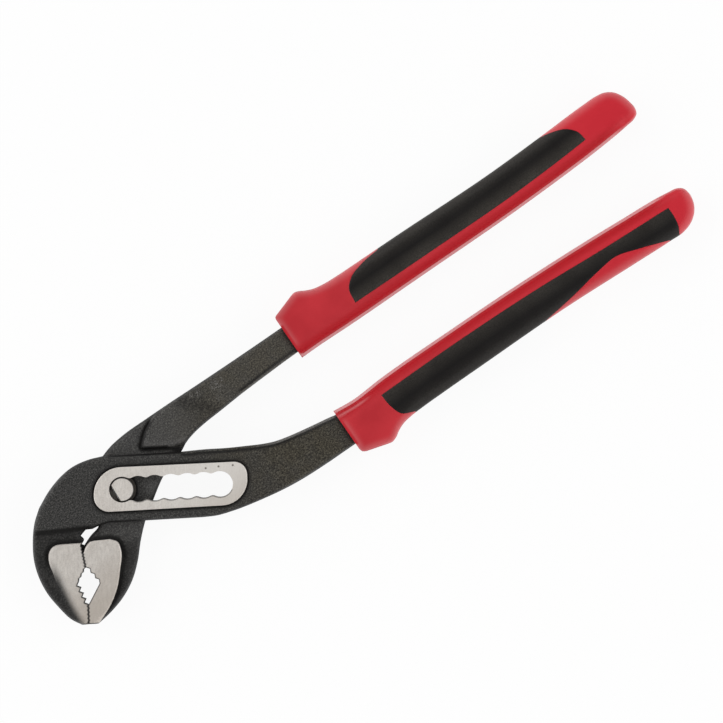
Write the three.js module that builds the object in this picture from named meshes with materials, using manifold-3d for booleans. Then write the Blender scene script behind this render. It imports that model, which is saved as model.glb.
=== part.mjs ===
import * as THREE from 'three';
import { mergeVertices } from 'three/addons/utils/BufferGeometryUtils.js';
import Module from 'manifold-3d';

// Water pump pliers of the 250 mm size, lying on one side. Millimetres, +Z up.
// The origin is on the pivot axis, in the plane that the underside rests on.
// +X runs from the pivot along the handles and +Y points to the upper handle.

const wasm = await Module();
wasm.setup();

// Thicknesses across the pliers, all centred on the middle plane
const jointThickness = 12;
const plateRise = 0.5;
const slitThickness = 5.4;
const jawRimThickness = 7.6;
const jawFaceThickness = 10;
const armThickness = 8;
const tangThickness = 5.2;

// Clearances
const slitClearance = 0.3;
const jawGap = 0.2;
const pinClearance = 0.15;
const notchClearance = 0.4;
const padClearance = 1.6;
const ringClearance = 0.2;
const gripClearance = 0.15;

// The scalloped slot: its direction in plan, its notches and the ground land round it
const slotAngle = -31.2;
const notchCount = 7;
const notchPitch = 5.38;
const cuspGap = 7.2;
const landWidth = 2.95;
const landFront = 5.35;
const landBack = 4.8;
const landFrontRadius = 5;
const landShoulderRadius = 9.3;
const landRadius = 7.1;
const landBackRadius = 3.8;

// The box that the inner lever passes through, measured from the slot's centre line
const boxUpper = 11.3;
const boxLower = 10.6;
const slitFront = 15;
const slitBack = 17.6;
const slitFlare = 4.8;

// The pivot pin has one flat, which lies along the slot when the pliers are opened this far
const pinRadius = 3.85;
const flatDistance = 2.4;
const flatOpening = 61.8;

// Retaining rings, sunk in a counterbore on each face of the inner lever
const ringThickness = 0.8;
const ringWidth = 1.25;
const ringBite = 0.4;
const ringGapAngle = 60;
const ringDepth = 0.25;

// Jaw teeth
const fineDepth = 0.35;
const coarseDepth = 1.1;
const upperTeeth = 7;
const lowerTeeth = 5;
const coarseTeeth = 4;
const pipeTeeth = 3;

// Handles: where the lower arm tapers, the arm edges where they enter the grips, and the tangs inside
const taperStart = 40;
const taperEnd = 66;
const upperArmLow = 4.55;
const upperArmHigh = 14.25;
const lowerArmLow = -31.1;
const lowerArmHigh = -19.55;
const upperGripFront = 73.4;
const lowerGripFront = 71.9;
const mouthDepth = 4;
const tangEnd = 188;
const tangWidth = 6.6;
const upperTangDrift = 0.8;
const lowerTangDrift = -1.6;

// Grips: thickness, edge rounding and the depth of the soft inlays
const gripThickness = 12;
const gripRounding = 4.2;
const slimmestSection = 2.2;
const inlayDepth = 1.5;
const inlayClearance = 0.15;

const middle = jointThickness / 2;
const forgingThickness = jointThickness - 2 * plateRise;
const neckThickness = slitThickness - 2 * slitClearance;
const travel = (notchCount - 1) * notchPitch;
const notchRadius = pinRadius + notchClearance;
const ringInner = pinRadius - ringBite;
const ringOuter = ringInner + ringWidth;
const padEdge = boxUpper + padClearance;
const curveSteps = 3;
const arcSteps = 10;
const roundSteps = 40;
const sectionSteps = 3;
const beyond = 4 * jointThickness;

const radians = THREE.MathUtils.degToRad;
const slotCos = Math.cos(radians(slotAngle));
const slotSin = Math.sin(radians(slotAngle));

// A plan point given along the slot and across it
function slotPoint(along, across) {
  return [along * slotCos - across * slotSin, along * slotSin + across * slotCos];
}

// Stretches drawn one after another: two points are a straight line, more are a smooth curve
function draw(line, stretches) {
  line.moveTo(...stretches[0][0]);
  for (const [first, ...rest] of stretches) {
    line.lineTo(...first);
    if (rest.length === 1) {
      line.lineTo(...rest[0]);
    } else if (rest.length > 1) {
      line.splineThru(rest.map(([x, y]) => new THREE.Vector2(x, y)));
    }
  }
  return line;
}

// A closed outline
function outline(...stretches) {
  return draw(new THREE.Shape(), stretches);
}

// The points of an open edge
function path(...stretches) {
  return draw(new THREE.Path(), stretches).getPoints(curveSteps);
}

// A closed outline through points joined by straight lines
function polygon(points) {
  return new THREE.Shape(points.map(([x, y]) => new THREE.Vector2(x, y)));
}

// A closed outline of corner points, each rounded to its own radius
function roundedOutline(corners) {
  const points = [];
  corners.forEach(([x, y, radius], index) => {
    const corner = new THREE.Vector2(x, y);
    const [px, py] = corners.at(index - 1);
    const [nx, ny] = corners[(index + 1) % corners.length];
    const back = new THREE.Vector2(px, py).sub(corner).normalize();
    const ahead = new THREE.Vector2(nx, ny).sub(corner).normalize();
    const half = Math.acos(back.dot(ahead)) / 2;
    const centre = back.clone().add(ahead).normalize().multiplyScalar(radius / Math.sin(half)).add(corner);
    const start = back.multiplyScalar(radius / Math.tan(half)).add(corner).sub(centre);
    const end = ahead.multiplyScalar(radius / Math.tan(half)).add(corner).sub(centre);
    const sweep = Math.atan2(start.cross(end), start.dot(end));
    for (let step = 0; step <= arcSteps; step += 1) {
      points.push(start.clone().rotateAround(new THREE.Vector2(), (sweep * step) / arcSteps).add(centre));
    }
  });
  return new THREE.Shape(points);
}

// Teeth along a line: the crests are on the line and the roots lie to the left of travel
function teeth([x0, y0], [x1, y1], count, depth) {
  const length = Math.hypot(x1 - x0, y1 - y0);
  const inward = [(-depth * (y1 - y0)) / length, (depth * (x1 - x0)) / length];
  const points = [];
  for (let half = 0; half <= 2 * count; half += 1) {
    const share = half / (2 * count);
    const root = half % 2;
    points.push([x0 + share * (x1 - x0) + root * inward[0], y0 + share * (y1 - y0) + root * inward[1]]);
  }
  return points;
}

// A solid for joining and cutting, from a closed geometry
function solid(geometry) {
  geometry.deleteAttribute('normal');
  geometry.deleteAttribute('uv');
  const merged = mergeVertices(geometry);
  const vertProperties = merged.attributes.position.array;
  const triVerts = new Uint32Array(merged.index.array);
  return new wasm.Manifold(new wasm.Mesh({ numProp: 3, vertProperties, triVerts }));
}

// A plan outline raised to a thickness about a height
function prism(shape, thickness, height = middle) {
  const geometry = new THREE.ExtrudeGeometry(shape, {
    depth: thickness,
    curveSegments: curveSteps,
    bevelEnabled: false,
  });
  geometry.translate(0, 0, height - thickness / 2);
  return solid(geometry);
}

// A plan outline drawn out on every side and raised to a thickness
function grownPrism(shape, thickness, grow) {
  const lip = thickness / 4;
  const geometry = new THREE.ExtrudeGeometry(shape, {
    depth: thickness - 2 * lip,
    curveSegments: curveSteps,
    bevelSize: 0,
    bevelThickness: lip,
    bevelOffset: grow,
    bevelSegments: 1,
  });
  geometry.translate(0, 0, middle - thickness / 2 + lip);
  return solid(geometry);
}

function box(xLow, xHigh, yLow, yHigh, thickness) {
  const geometry = new THREE.BoxGeometry(xHigh - xLow, yHigh - yLow, thickness);
  geometry.translate((xLow + xHigh) / 2, (yLow + yHigh) / 2, middle);
  return solid(geometry);
}

function disc(radius, thickness, [x, y] = [0, 0], height = middle) {
  const geometry = new THREE.CylinderGeometry(radius, radius, thickness, roundSteps);
  geometry.rotateX(Math.PI / 2);
  geometry.translate(x, y, height);
  return solid(geometry);
}

function part(name, body, finish) {
  const { vertProperties, triVerts } = body.getMesh();
  const geometry = new THREE.BufferGeometry();
  geometry.setAttribute('position', new THREE.BufferAttribute(new Float32Array(vertProperties), 3));
  geometry.setIndex([...triVerts]);
  geometry.computeVertexNormals();
  const mesh = new THREE.Mesh(geometry, new THREE.MeshStandardMaterial(finish));
  mesh.name = name;
  return mesh;
}

// Finishes
const forgedSteel = { color: 0x2f2d2a, roughness: 0.6, metalness: 0.8 };
const groundSteel = { color: 0xbdb6ae, roughness: 0.4, metalness: 1 };
const springSteel = { color: 0x6d6a66, roughness: 0.4, metalness: 1 };
const redPlastic = { color: 0xb51f2c, roughness: 0.45, metalness: 0 };
const softBlack = { color: 0x23211f, roughness: 0.7, metalness: 0 };

// The closed jaws meet along a line from the throat to the tip, with a pipe hole between
const throat = [-21.2, -7.3];
const holeTop = [-24.3, -14.4];
const holeLeft = [-28.9, -16.9];
const holeRight = [-23.6, -21.25];
const holeBottom = [-30.4, -24.9];
const tip = [-33.9, -30.4];
const tipEdge = [-31.3, -32];
const jawAngle = Math.atan2(throat[1] - tip[1], throat[0] - tip[0]);

function acrossJaw([x, y]) {
  return [x + jawGap * Math.sin(jawAngle), y - jawGap * Math.cos(jawAngle)];
}

const headTop = [-10, 15.4];
const headShoulder = [-26, 10.2];
const jawBack = [-36.1, -29.2];

// Left jaw: rim in plan, from the head down to the tip and back up the toothed line
const leftJawShape = outline(
  [
    headShoulder, [-30, 7], [-34, 2.2], [-37.2, -3.2], [-39, -9],
    [-39.5, -14], [-39, -20], [-37.7, -26], jawBack,
  ],
  [tip],
  ...teeth(tip, holeBottom, lowerTeeth, fineDepth).map((point) => [point]),
  ...teeth(holeBottom, holeLeft, coarseTeeth, coarseDepth).map((point) => [point]),
  ...teeth(holeLeft, holeTop, pipeTeeth, fineDepth).map((point) => [point]),
  ...teeth(holeTop, throat, upperTeeth, fineDepth).map((point) => [point]),
  [throat, [-19.7, -6.4], [-19.9, -4.8]],
  [slotPoint(-slitFront - 1, 0)],
);

const leftFaceShape = outline(
  [[-15, -10.6], [-28, -2.8]],
  [[-28, -2.8], [-29.8, -2.2], [-31.4, -3], [-32.4, -4.6], [-34, -9], [-35.4, -15], [-36, -21], jawBack],
  [tipEdge],
);

// Slotted lever: head, box and arm in plan
const bandShape = outline(
  [slotPoint(-29, -boxLower), slotPoint(26, -boxLower)],
  [
    slotPoint(26, -boxLower), [21, -24.75], [26, -26.4], [36, -28.7], [48, -30.55],
    [60, lowerArmLow], [68, lowerArmLow],
  ],
  [[lowerGripFront + mouthDepth, lowerArmLow], [lowerGripFront + mouthDepth, lowerArmHigh]],
  [
    [lowerGripFront, lowerArmHigh], [70, -19.1], [66, -18.4], [62, -17.75], [58, -17], [54, -16.3],
    [50, -15.35], [47, -13.9], [42, -11.35], [36, -8.15], [30, -4.55], slotPoint(20, boxUpper),
  ],
  [slotPoint(20, boxUpper), slotPoint(-6, boxUpper)],
  [slotPoint(-6, boxUpper), [-4, 14.5], headTop, [-14, 15], [-20, 13.3], headShoulder, [-29, 7.9]],
);

// The lever's side view: full thickness at the box, tapering to the arm
const bandSideShape = polygon([
  [-beyond, -forgingThickness / 2],
  [taperStart, -forgingThickness / 2],
  [taperEnd, -armThickness / 2],
  [taperEnd + beyond, -armThickness / 2],
  [taperEnd + beyond, armThickness / 2],
  [taperEnd, armThickness / 2],
  [taperStart, forgingThickness / 2],
  [-beyond, forgingThickness / 2],
]);

function sideCut(shape) {
  const geometry = new THREE.ExtrudeGeometry(shape, { depth: 2 * beyond, bevelEnabled: false });
  geometry.translate(0, 0, -beyond);
  geometry.rotateX(Math.PI / 2);
  geometry.translate(0, 0, middle);
  return solid(geometry);
}

// A tang tapers on from the arm's centre line, inside the grip
function tang(xStart, centre, drift, grow) {
  const half = tangWidth / 2 + grow;
  const shape = polygon([
    [xStart, centre - half],
    [tangEnd + grow, centre + drift - half],
    [tangEnd + grow, centre + drift + half],
    [xStart, centre + half],
  ]);
  return prism(shape, tangThickness + 2 * grow);
}

const upperArmCentre = (upperArmLow + upperArmHigh) / 2;
const lowerArmCentre = (lowerArmLow + lowerArmHigh) / 2;

const landHalf = notchRadius + landWidth;
const landStart = -notchRadius - landFront;
const landEnd = travel + notchRadius + landBack;
const landShape = roundedOutline([
  [...slotPoint(landStart, -landHalf), landFrontRadius],
  [...slotPoint(landEnd, -landHalf), landRadius],
  [...slotPoint(landEnd, landHalf), landBackRadius],
  [...slotPoint(landStart, landHalf), Math.min(landShoulderRadius, 2 * landHalf - landFrontRadius)],
]);

// Below the box, the jaw's rim runs on beside the throat
const webShape = outline(
  [[-19.9, -4.8], [-17.4, -4.1]],
  [[-15.3, -5.2], [-13.6, -5.4]],
  [slotPoint(-5, -boxLower), slotPoint(-5, 1 - boxLower)],
  [slotPoint(-20, 1 - boxLower)],
);

// The straight run between opposite rows of cusps
const runShape = polygon([
  slotPoint(0, -cuspGap / 2),
  slotPoint(travel, -cuspGap / 2),
  slotPoint(travel, cuspGap / 2),
  slotPoint(0, cuspGap / 2),
]);

const slitShape = polygon([
  slotPoint(-slitFront, -boxLower - beyond),
  slotPoint(travel + slitBack, -boxLower - beyond),
  slotPoint(travel + slitBack, boxUpper - slitFlare),
  slotPoint(travel + slitBack + slitFlare, boxUpper + slitFlare / 2),
  slotPoint(travel, boxUpper + beyond),
  slotPoint(-slitFront, boxUpper + beyond),
]);

function slottedLever() {
  const jaw = prism(leftJawShape, jawRimThickness);
  const face = prism(leftFaceShape, jawFaceThickness).intersect(prism(leftJawShape, jointThickness));
  const band = prism(bandShape, forgingThickness).intersect(sideCut(bandSideShape));
  const slit = prism(slitShape, slitThickness);
  const web = prism(webShape, jawRimThickness);
  let body = band.add(web).add(prism(landShape, jointThickness)).subtract(slit).add(jaw).add(face);
  body = body.subtract(prism(runShape, 2 * jointThickness));
  for (let notch = 0; notch < notchCount; notch += 1) {
    body = body.subtract(disc(notchRadius, 2 * jointThickness, slotPoint(notch * notchPitch, 0)));
  }
  return body.add(tang(lowerGripFront, lowerArmCentre, lowerTangDrift, 0));
}

// Inner lever: jaw, neck and arm in plan
const innerShape = outline(
  [acrossJaw(tip), tipEdge],
  [
    tipEdge, [-26, -31.2], [-20, -29.5], [-14, -26.4], [-9.1, -22.3], [-4.15, -17], [0.5, -12.8],
    [6.8, -8.4], [13.8, -4], [18.5, -2], [23.4, -0.6], [26, 0.75], [30, 1.9], [35, 2.6], [41, 3],
    [50, 3.7], [60, 4.15],
  ],
  [[upperGripFront + mouthDepth, upperArmLow], [upperGripFront + mouthDepth, upperArmHigh]],
  [
    [60, upperArmHigh], [40, 14.45], [30, 14.65], [20, 14.7], [10, 14.55], [5, 13.9], [1, 12.7], [-3, 11],
    [-6.4, 8.2], [-8.8, 4.3], [-9.8, 0], [-11, -3.2], [-13.5, -5.7], [-17, -6.6], [-20.6, -8],
  ],
  ...teeth(acrossJaw(throat), acrossJaw(holeTop), upperTeeth, fineDepth).slice(1).map((point) => [point]),
  ...teeth(acrossJaw(holeTop), acrossJaw(holeRight), pipeTeeth, 2 * fineDepth).map((point) => [point]),
  [acrossJaw(holeBottom)],
  ...teeth(acrossJaw(holeBottom), acrossJaw(tip), lowerTeeth, fineDepth).map((point) => [point]),
);

const rightFaceShape = outline(
  [tipEdge, [-24.5, -29], [-20, -26], [-15.5, -21.3], [-11.6, -16.2], [-11, -13.4], [-12.6, -11.2]],
  [[-12.6, -11.2], [-17, -8.8]],
  [[-17, -8.8], [-18.7, -8.3], [-20.6, -8.9], [-22, -10]],
  [[-30, -10], [-38, -25], [-35, -32]],
);

const padShape = outline(
  [[27, 16], [21.2, 13.7], [16.6, 11.3], [14.2, 9.3], slotPoint(6.6, padEdge)],
  [slotPoint(18, padEdge), [26, 0.75]],
  [[28, -beyond], [100, -beyond]],
  [[100, 16]],
);

// The pin's section, drawn out on every side by a clearance
const flatAngle = slotAngle + 180 - flatOpening;

function pinBody(thickness, grow) {
  const reach = 2 * pinRadius;
  const geometry = new THREE.BoxGeometry(reach, 2 * reach, 2 * thickness);
  geometry.translate(-flatDistance - grow - reach / 2, 0, middle);
  const flatSide = solid(geometry).rotate([0, 0, flatAngle - 90]);
  return disc(pinRadius + grow, thickness).subtract(flatSide);
}

// Ring seats lie just under each face of the neck
const ringReach = neckThickness / 2 - ringDepth - ringThickness / 2;
const ringHeights = [middle - ringReach, middle + ringReach];

function innerLever() {
  const neck = prism(innerShape, neckThickness);
  const face = prism(rightFaceShape, jawFaceThickness).intersect(prism(innerShape, jointThickness));
  const arm = prism(innerShape, armThickness).intersect(prism(padShape, jointThickness));
  let body = neck.add(face).add(arm).add(tang(upperGripFront, upperArmCentre, upperTangDrift, 0));
  body = body.subtract(pinBody(jointThickness, pinClearance));
  for (const [index, height] of ringHeights.entries()) {
    const depth = ringThickness + 2 * ringClearance;
    const outward = index === 0 ? -1 : 1;
    const seat = disc(ringOuter + ringClearance, depth + beyond, [0, 0], height + (outward * beyond) / 2);
    body = body.subtract(seat);
  }
  return body;
}

function pivotPin() {
  let body = pinBody(jointThickness, 0);
  for (const height of ringHeights) {
    const groove = ringThickness + 2 * ringClearance;
    const collar = disc(2 * pinRadius, groove, [0, 0], height);
    body = body.subtract(collar.subtract(disc(ringInner - ringClearance, 2 * groove, [0, 0], height)));
  }
  return body;
}

// A spring ring with a gap, open towards the jaws
function pinRing(height) {
  const shape = new THREE.Shape();
  const gap = radians(ringGapAngle / 2);
  shape.absarc(0, 0, ringOuter, Math.PI + gap, 3 * Math.PI - gap, false);
  shape.absarc(0, 0, ringInner, 3 * Math.PI - gap, Math.PI + gap, true);
  const geometry = new THREE.ExtrudeGeometry(shape, {
    depth: ringThickness,
    curveSegments: roundSteps / 2,
    bevelEnabled: false,
  });
  geometry.translate(0, 0, height - ringThickness / 2);
  return solid(geometry);
}

// Upper grip in plan: the outer edge with its guard, the inner edge and the inlay
const upperGuardEdge = path(
  [[upperGripFront, 18], [83.3, 21.3]],
  [[83.3, 21.3], [88, 19.1], [93, 18], [120, 17.75], [160, 17.2], [197, 18.3]],
  [[197, 18.3], [201.3, 18.2], [204.5, 17.7], [207, 16.1], [208.7, 13.7], [209.8, 10.2]],
);
const upperPlainEdge = path(
  [[upperGripFront, 2.2], [80, 2.3], [92, 2.1], [120, 2.1], [160, 2.2], [180, 2.8], [192, 3.4], [205, 4.6]],
  [[205, 4.6], [207.8, 5.1], [209.5, 6.2], [210, 8], [209.8, 10.2]],
);
const upperInlayShape = outline(
  [[98.1, 7.2], [130, 7], [160, 7], [180, 7.8], [190.9, 8.5]],
  [[190.9, 8.5], [190.2, 12], [187.5, 15], [183, 16.8], [178, 17.8]],
  [[172, 24], [122, 24]],
  [[114, 17.5], [107, 16.6], [102, 15], [99, 12.2], [98.1, 7.2]],
);

// Lower grip in plan
const lowerGuardEdge = path(
  [[lowerGripFront, -34.5], [82.3, -37.4]],
  [[82.3, -37.4], [88, -34.5], [95, -33.65], [120, -33.45], [155, -33.4], [180, -34.3], [195, -34.8]],
  [[195, -34.8], [200.5, -34.8], [204.7, -33.3], [207.3, -30.8], [208.6, -28], [208.9, -25.4]],
);
const lowerPlainEdge = path(
  [[lowerGripFront, -18.1], [79, -18.7], [90, -18.1], [120, -17.95], [140, -18.1], [165, -18.8]],
  [[165, -18.8], [185, -19.8], [203.5, -20.9]],
  [[203.5, -20.9], [206.4, -21.5], [208.1, -22.8], [208.9, -25.4]],
);
const lowerInlayShape = outline(
  [[87.9, -22.7], [88.3, -27], [90, -31.4], [94, -33.4]],
  [[97, -40], [140, -40]],
  [[144, -33.6], [160, -31.3], [170, -29.5], [177, -28.8], [185, -31], [195, -34.5]],
  [[195.5, -40], [198.2, -40]],
  [[198.2, -36], [199.6, -31], [200.6, -25.4]],
  [[200.6, -25.4], [175, -24.4], [150, -23], [120, -22.4], [87.9, -22.7]],
);

// Height of an edge at a station along the handle
function edgeAt(edge, x) {
  const next = Math.max(1, edge.findIndex((point) => point.x >= x));
  const before = edge[next - 1];
  const after = edge[next];
  return THREE.MathUtils.mapLinear(x, before.x, after.x, before.y, after.y);
}

// A rounded rectangle across the handle
function gripSection(x, yLow, yHigh, thickness, rounding) {
  const reach = [(yHigh - yLow) / 2 - rounding, thickness / 2 - rounding];
  const points = [];
  for (let corner = 0; corner < 4; corner += 1) {
    for (let step = 0; step <= sectionSteps; step += 1) {
      const angle = (Math.PI / 2) * (corner + step / sectionSteps);
      const side = Math.sign(Math.cos((Math.PI / 2) * (corner + 0.5)));
      const up = Math.sign(Math.sin((Math.PI / 2) * (corner + 0.5)));
      const y = (yLow + yHigh) / 2 + side * reach[0] + rounding * Math.cos(angle);
      points.push(x, y, middle + up * reach[1] + rounding * Math.sin(angle));
    }
  }
  return points;
}

// A grip body lofted between its two edges, drawn in on every side by the inset
function gripBody(guardEdge, plainEdge, inset) {
  const end = guardEdge.at(-1).x;
  const positions = [];
  for (const { x, y } of guardEdge) {
    const other = edgeAt(plainEdge, x);
    const width = Math.abs(y - other) - 2 * inset;
    const nose = Math.max(0, 1 - (end - x) / gripRounding);
    const thickness = gripThickness - 2 * inset - 2 * gripRounding * (1 - Math.sqrt(1 - nose * nose));
    if (width > gripRounding && thickness > gripRounding) {
      const rounding = Math.min(gripRounding, width / slimmestSection, thickness / slimmestSection);
      const low = Math.min(y, other) + inset;
      positions.push(...gripSection(x, low, low + width, thickness, rounding));
    }
  }
  return loft(positions, 4 * (sectionSteps + 1));
}

// Rings of equal length joined into a closed body, with flat ends
function loft(positions, ringSize) {
  const rings = positions.length / 3 / ringSize;
  const index = [];
  for (let ring = 0; ring < rings - 1; ring += 1) {
    for (let place = 0; place < ringSize; place += 1) {
      const a = ring * ringSize + place;
      const b = ring * ringSize + ((place + 1) % ringSize);
      index.push(a, b, b + ringSize, a, b + ringSize, a + ringSize);
    }
  }
  const last = (rings - 1) * ringSize;
  for (let place = 1; place < ringSize - 1; place += 1) {
    index.push(0, place + 1, place, last, last + place, last + place + 1);
  }
  const geometry = new THREE.BufferGeometry();
  geometry.setAttribute('position', new THREE.Float32BufferAttribute(positions, 3));
  geometry.setIndex(index);
  return solid(geometry);
}

function gripInlay(guardEdge, plainEdge, inlayShape) {
  const core = gripBody(guardEdge, plainEdge, inlayDepth - inlayClearance);
  return gripBody(guardEdge, plainEdge, 0).subtract(core).intersect(prism(inlayShape, 2 * gripThickness));
}

function gripShell(guardEdge, plainEdge, inlayShape, armLow, armHigh, drift) {
  const front = guardEdge[0].x;
  const core = gripBody(guardEdge, plainEdge, inlayDepth);
  const recess = grownPrism(inlayShape, 2 * gripThickness, inlayClearance).subtract(core);
  const mouth = box(
    front - beyond,
    front + mouthDepth + gripClearance,
    armLow - gripClearance,
    armHigh + gripClearance,
    armThickness + 2 * gripClearance,
  );
  const bore = tang(front, (armLow + armHigh) / 2, drift, gripClearance);
  return gripBody(guardEdge, plainEdge, 0).subtract(recess).subtract(mouth).subtract(bore);
}

const pliers = new THREE.Group();
pliers.add(
  part('slotted_lever', slottedLever(), forgedSteel),
  part('inner_lever', innerLever(), forgedSteel),
  part('pivot_pin', pivotPin(), groundSteel),
  part('pin_ring_rear', pinRing(ringHeights[0]), springSteel),
  part('pin_ring_front', pinRing(ringHeights[1]), springSteel),
  part(
    'upper_grip_shell',
    gripShell(upperGuardEdge, upperPlainEdge, upperInlayShape, upperArmLow, upperArmHigh, upperTangDrift),
    redPlastic,
  ),
  part('upper_grip_inlay', gripInlay(upperGuardEdge, upperPlainEdge, upperInlayShape), softBlack),
  part(
    'lower_grip_shell',
    gripShell(lowerGuardEdge, lowerPlainEdge, lowerInlayShape, lowerArmLow, lowerArmHigh, lowerTangDrift),
    redPlastic,
  ),
  part('lower_grip_inlay', gripInlay(lowerGuardEdge, lowerPlainEdge, lowerInlayShape), softBlack),
);

export default pliers;
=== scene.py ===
import cmath
import math
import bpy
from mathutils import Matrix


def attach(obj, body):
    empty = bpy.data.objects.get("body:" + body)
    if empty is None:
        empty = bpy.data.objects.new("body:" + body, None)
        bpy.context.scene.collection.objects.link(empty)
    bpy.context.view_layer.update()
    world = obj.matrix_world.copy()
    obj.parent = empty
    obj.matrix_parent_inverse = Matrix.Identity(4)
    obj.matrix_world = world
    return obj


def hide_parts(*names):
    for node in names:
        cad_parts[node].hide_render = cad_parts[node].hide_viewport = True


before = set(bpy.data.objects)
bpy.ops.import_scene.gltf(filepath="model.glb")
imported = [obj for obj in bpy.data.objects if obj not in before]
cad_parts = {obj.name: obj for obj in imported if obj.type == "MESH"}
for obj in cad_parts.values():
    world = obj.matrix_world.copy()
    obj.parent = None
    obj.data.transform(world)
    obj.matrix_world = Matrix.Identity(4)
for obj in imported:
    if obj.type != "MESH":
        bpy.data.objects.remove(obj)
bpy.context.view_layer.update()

from types import SimpleNamespace

import bmesh
import bpy
import numpy as np
from mathutils import Vector, noise
from mathutils.geometry import delaunay_2d_cdt

# Plan lengths are in millimetres; heights are measured from the tool's middle plane
MILLIMETRE = 0.001
MIDDLE = 6.0

# The slot and the box joint round it
SLOT_ANGLE = -31.2
SLOT_COS = math.cos(math.radians(SLOT_ANGLE))
SLOT_SIN = math.sin(math.radians(SLOT_ANGLE))
NOTCHES = 7
PITCH = 5.38
NOTCH_RADIUS = 4.25
NOTCH_STEP = 0.16
CUSP_HALF = 3.6
TRAVEL = (NOTCHES - 1) * PITCH
BOX_UPPER = 11.3
BOX_LOWER = 10.6
SLIT_HALF = 2.7

# Half thicknesses of the levers
EDGE_HALF = 0.3
NECK_HALF = 2.4
TANG_HALF = 2.6
JAW_HALF = 3.5
RIM_HALF = 3.8
ARM_HALF = 4.0
FACE_HALF = 5.0
FORGED_HALF = 5.5

# The pin's flat lies along the slot when the hinge is open by this angle
FLAT_OPENING = 61.8
FLAT_FACING = math.radians(SLOT_ANGLE + 270 - FLAT_OPENING)
PIN_RADIUS = 3.85
PIN_FLAT = 2.4
GROOVE_DEPTH = 0.6
SEAT_RADIUS = 4.9
SEAT_HALF = 1.15
SEAT_EDGE = 0.08

# The arms' ends, the tangs and the grips on them
PLAY = 0.15
ARM_SEAT = 4.0
TANG_STEP = 0.1
TANG_WIDE = 3.3
TANG_END = 188
GRIP_HALF = 5.9
INLAY_DEPTH = 1.3


def slot(along, across):
    """A plan point given along the slot and across it."""
    return (along * SLOT_COS - across * SLOT_SIN, along * SLOT_SIN + across * SLOT_COS)


def smooth(value, low, high):
    """From nought at the low value softly up to one at the high value."""
    share = np.clip((value - low) / (high - low), 0, 1)
    return share * share * (3 - 2 * share)


def fade(value, low, high):
    """From one at the low value softly down to nought at the high value."""
    return 1 - smooth(value, low, high)


def between(value, low, full, less, high):
    """One from the full value to the lesser one, falling to nought at the low and the high value."""
    return smooth(value, low, full) * fade(value, less, high)


def hump(value, width):
    """One where the value is nought, falling softly on both sides."""
    return np.exp(-((value / width) ** 2))


def most(*values):
    """The largest of the values at each place."""
    return np.maximum.reduce(values)


# Plan lines
SAME_PLACE = 1e-9
BATCH = 1024


def curve(points, step):
    """Samples of a line through the points, straight for two and smooth for more, without the last."""
    points = np.array(points, float)
    span = np.diff(points, axis=0)
    length = np.linalg.norm(span, axis=1)[:, None]
    lead = span / length
    middle = (lead[:-1] * length[1:] + lead[1:] * length[:-1]) / (length[:-1] + length[1:])
    lead = np.vstack([lead[:1], middle, lead[-1:]])
    out = []
    for i, (a, b) in enumerate(zip(points, points[1:])):
        count = max(1, math.ceil(length[i, 0] / step))
        t = (np.arange(count) / count)[:, None]
        u, v = lead[i] * length[i], lead[i + 1] * length[i]
        out.append((2 * a - 2 * b + u + v) * t**3 + (3 * b - 3 * a - 2 * u - v) * t**2 + u * t + a)
    return np.vstack(out)


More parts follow.
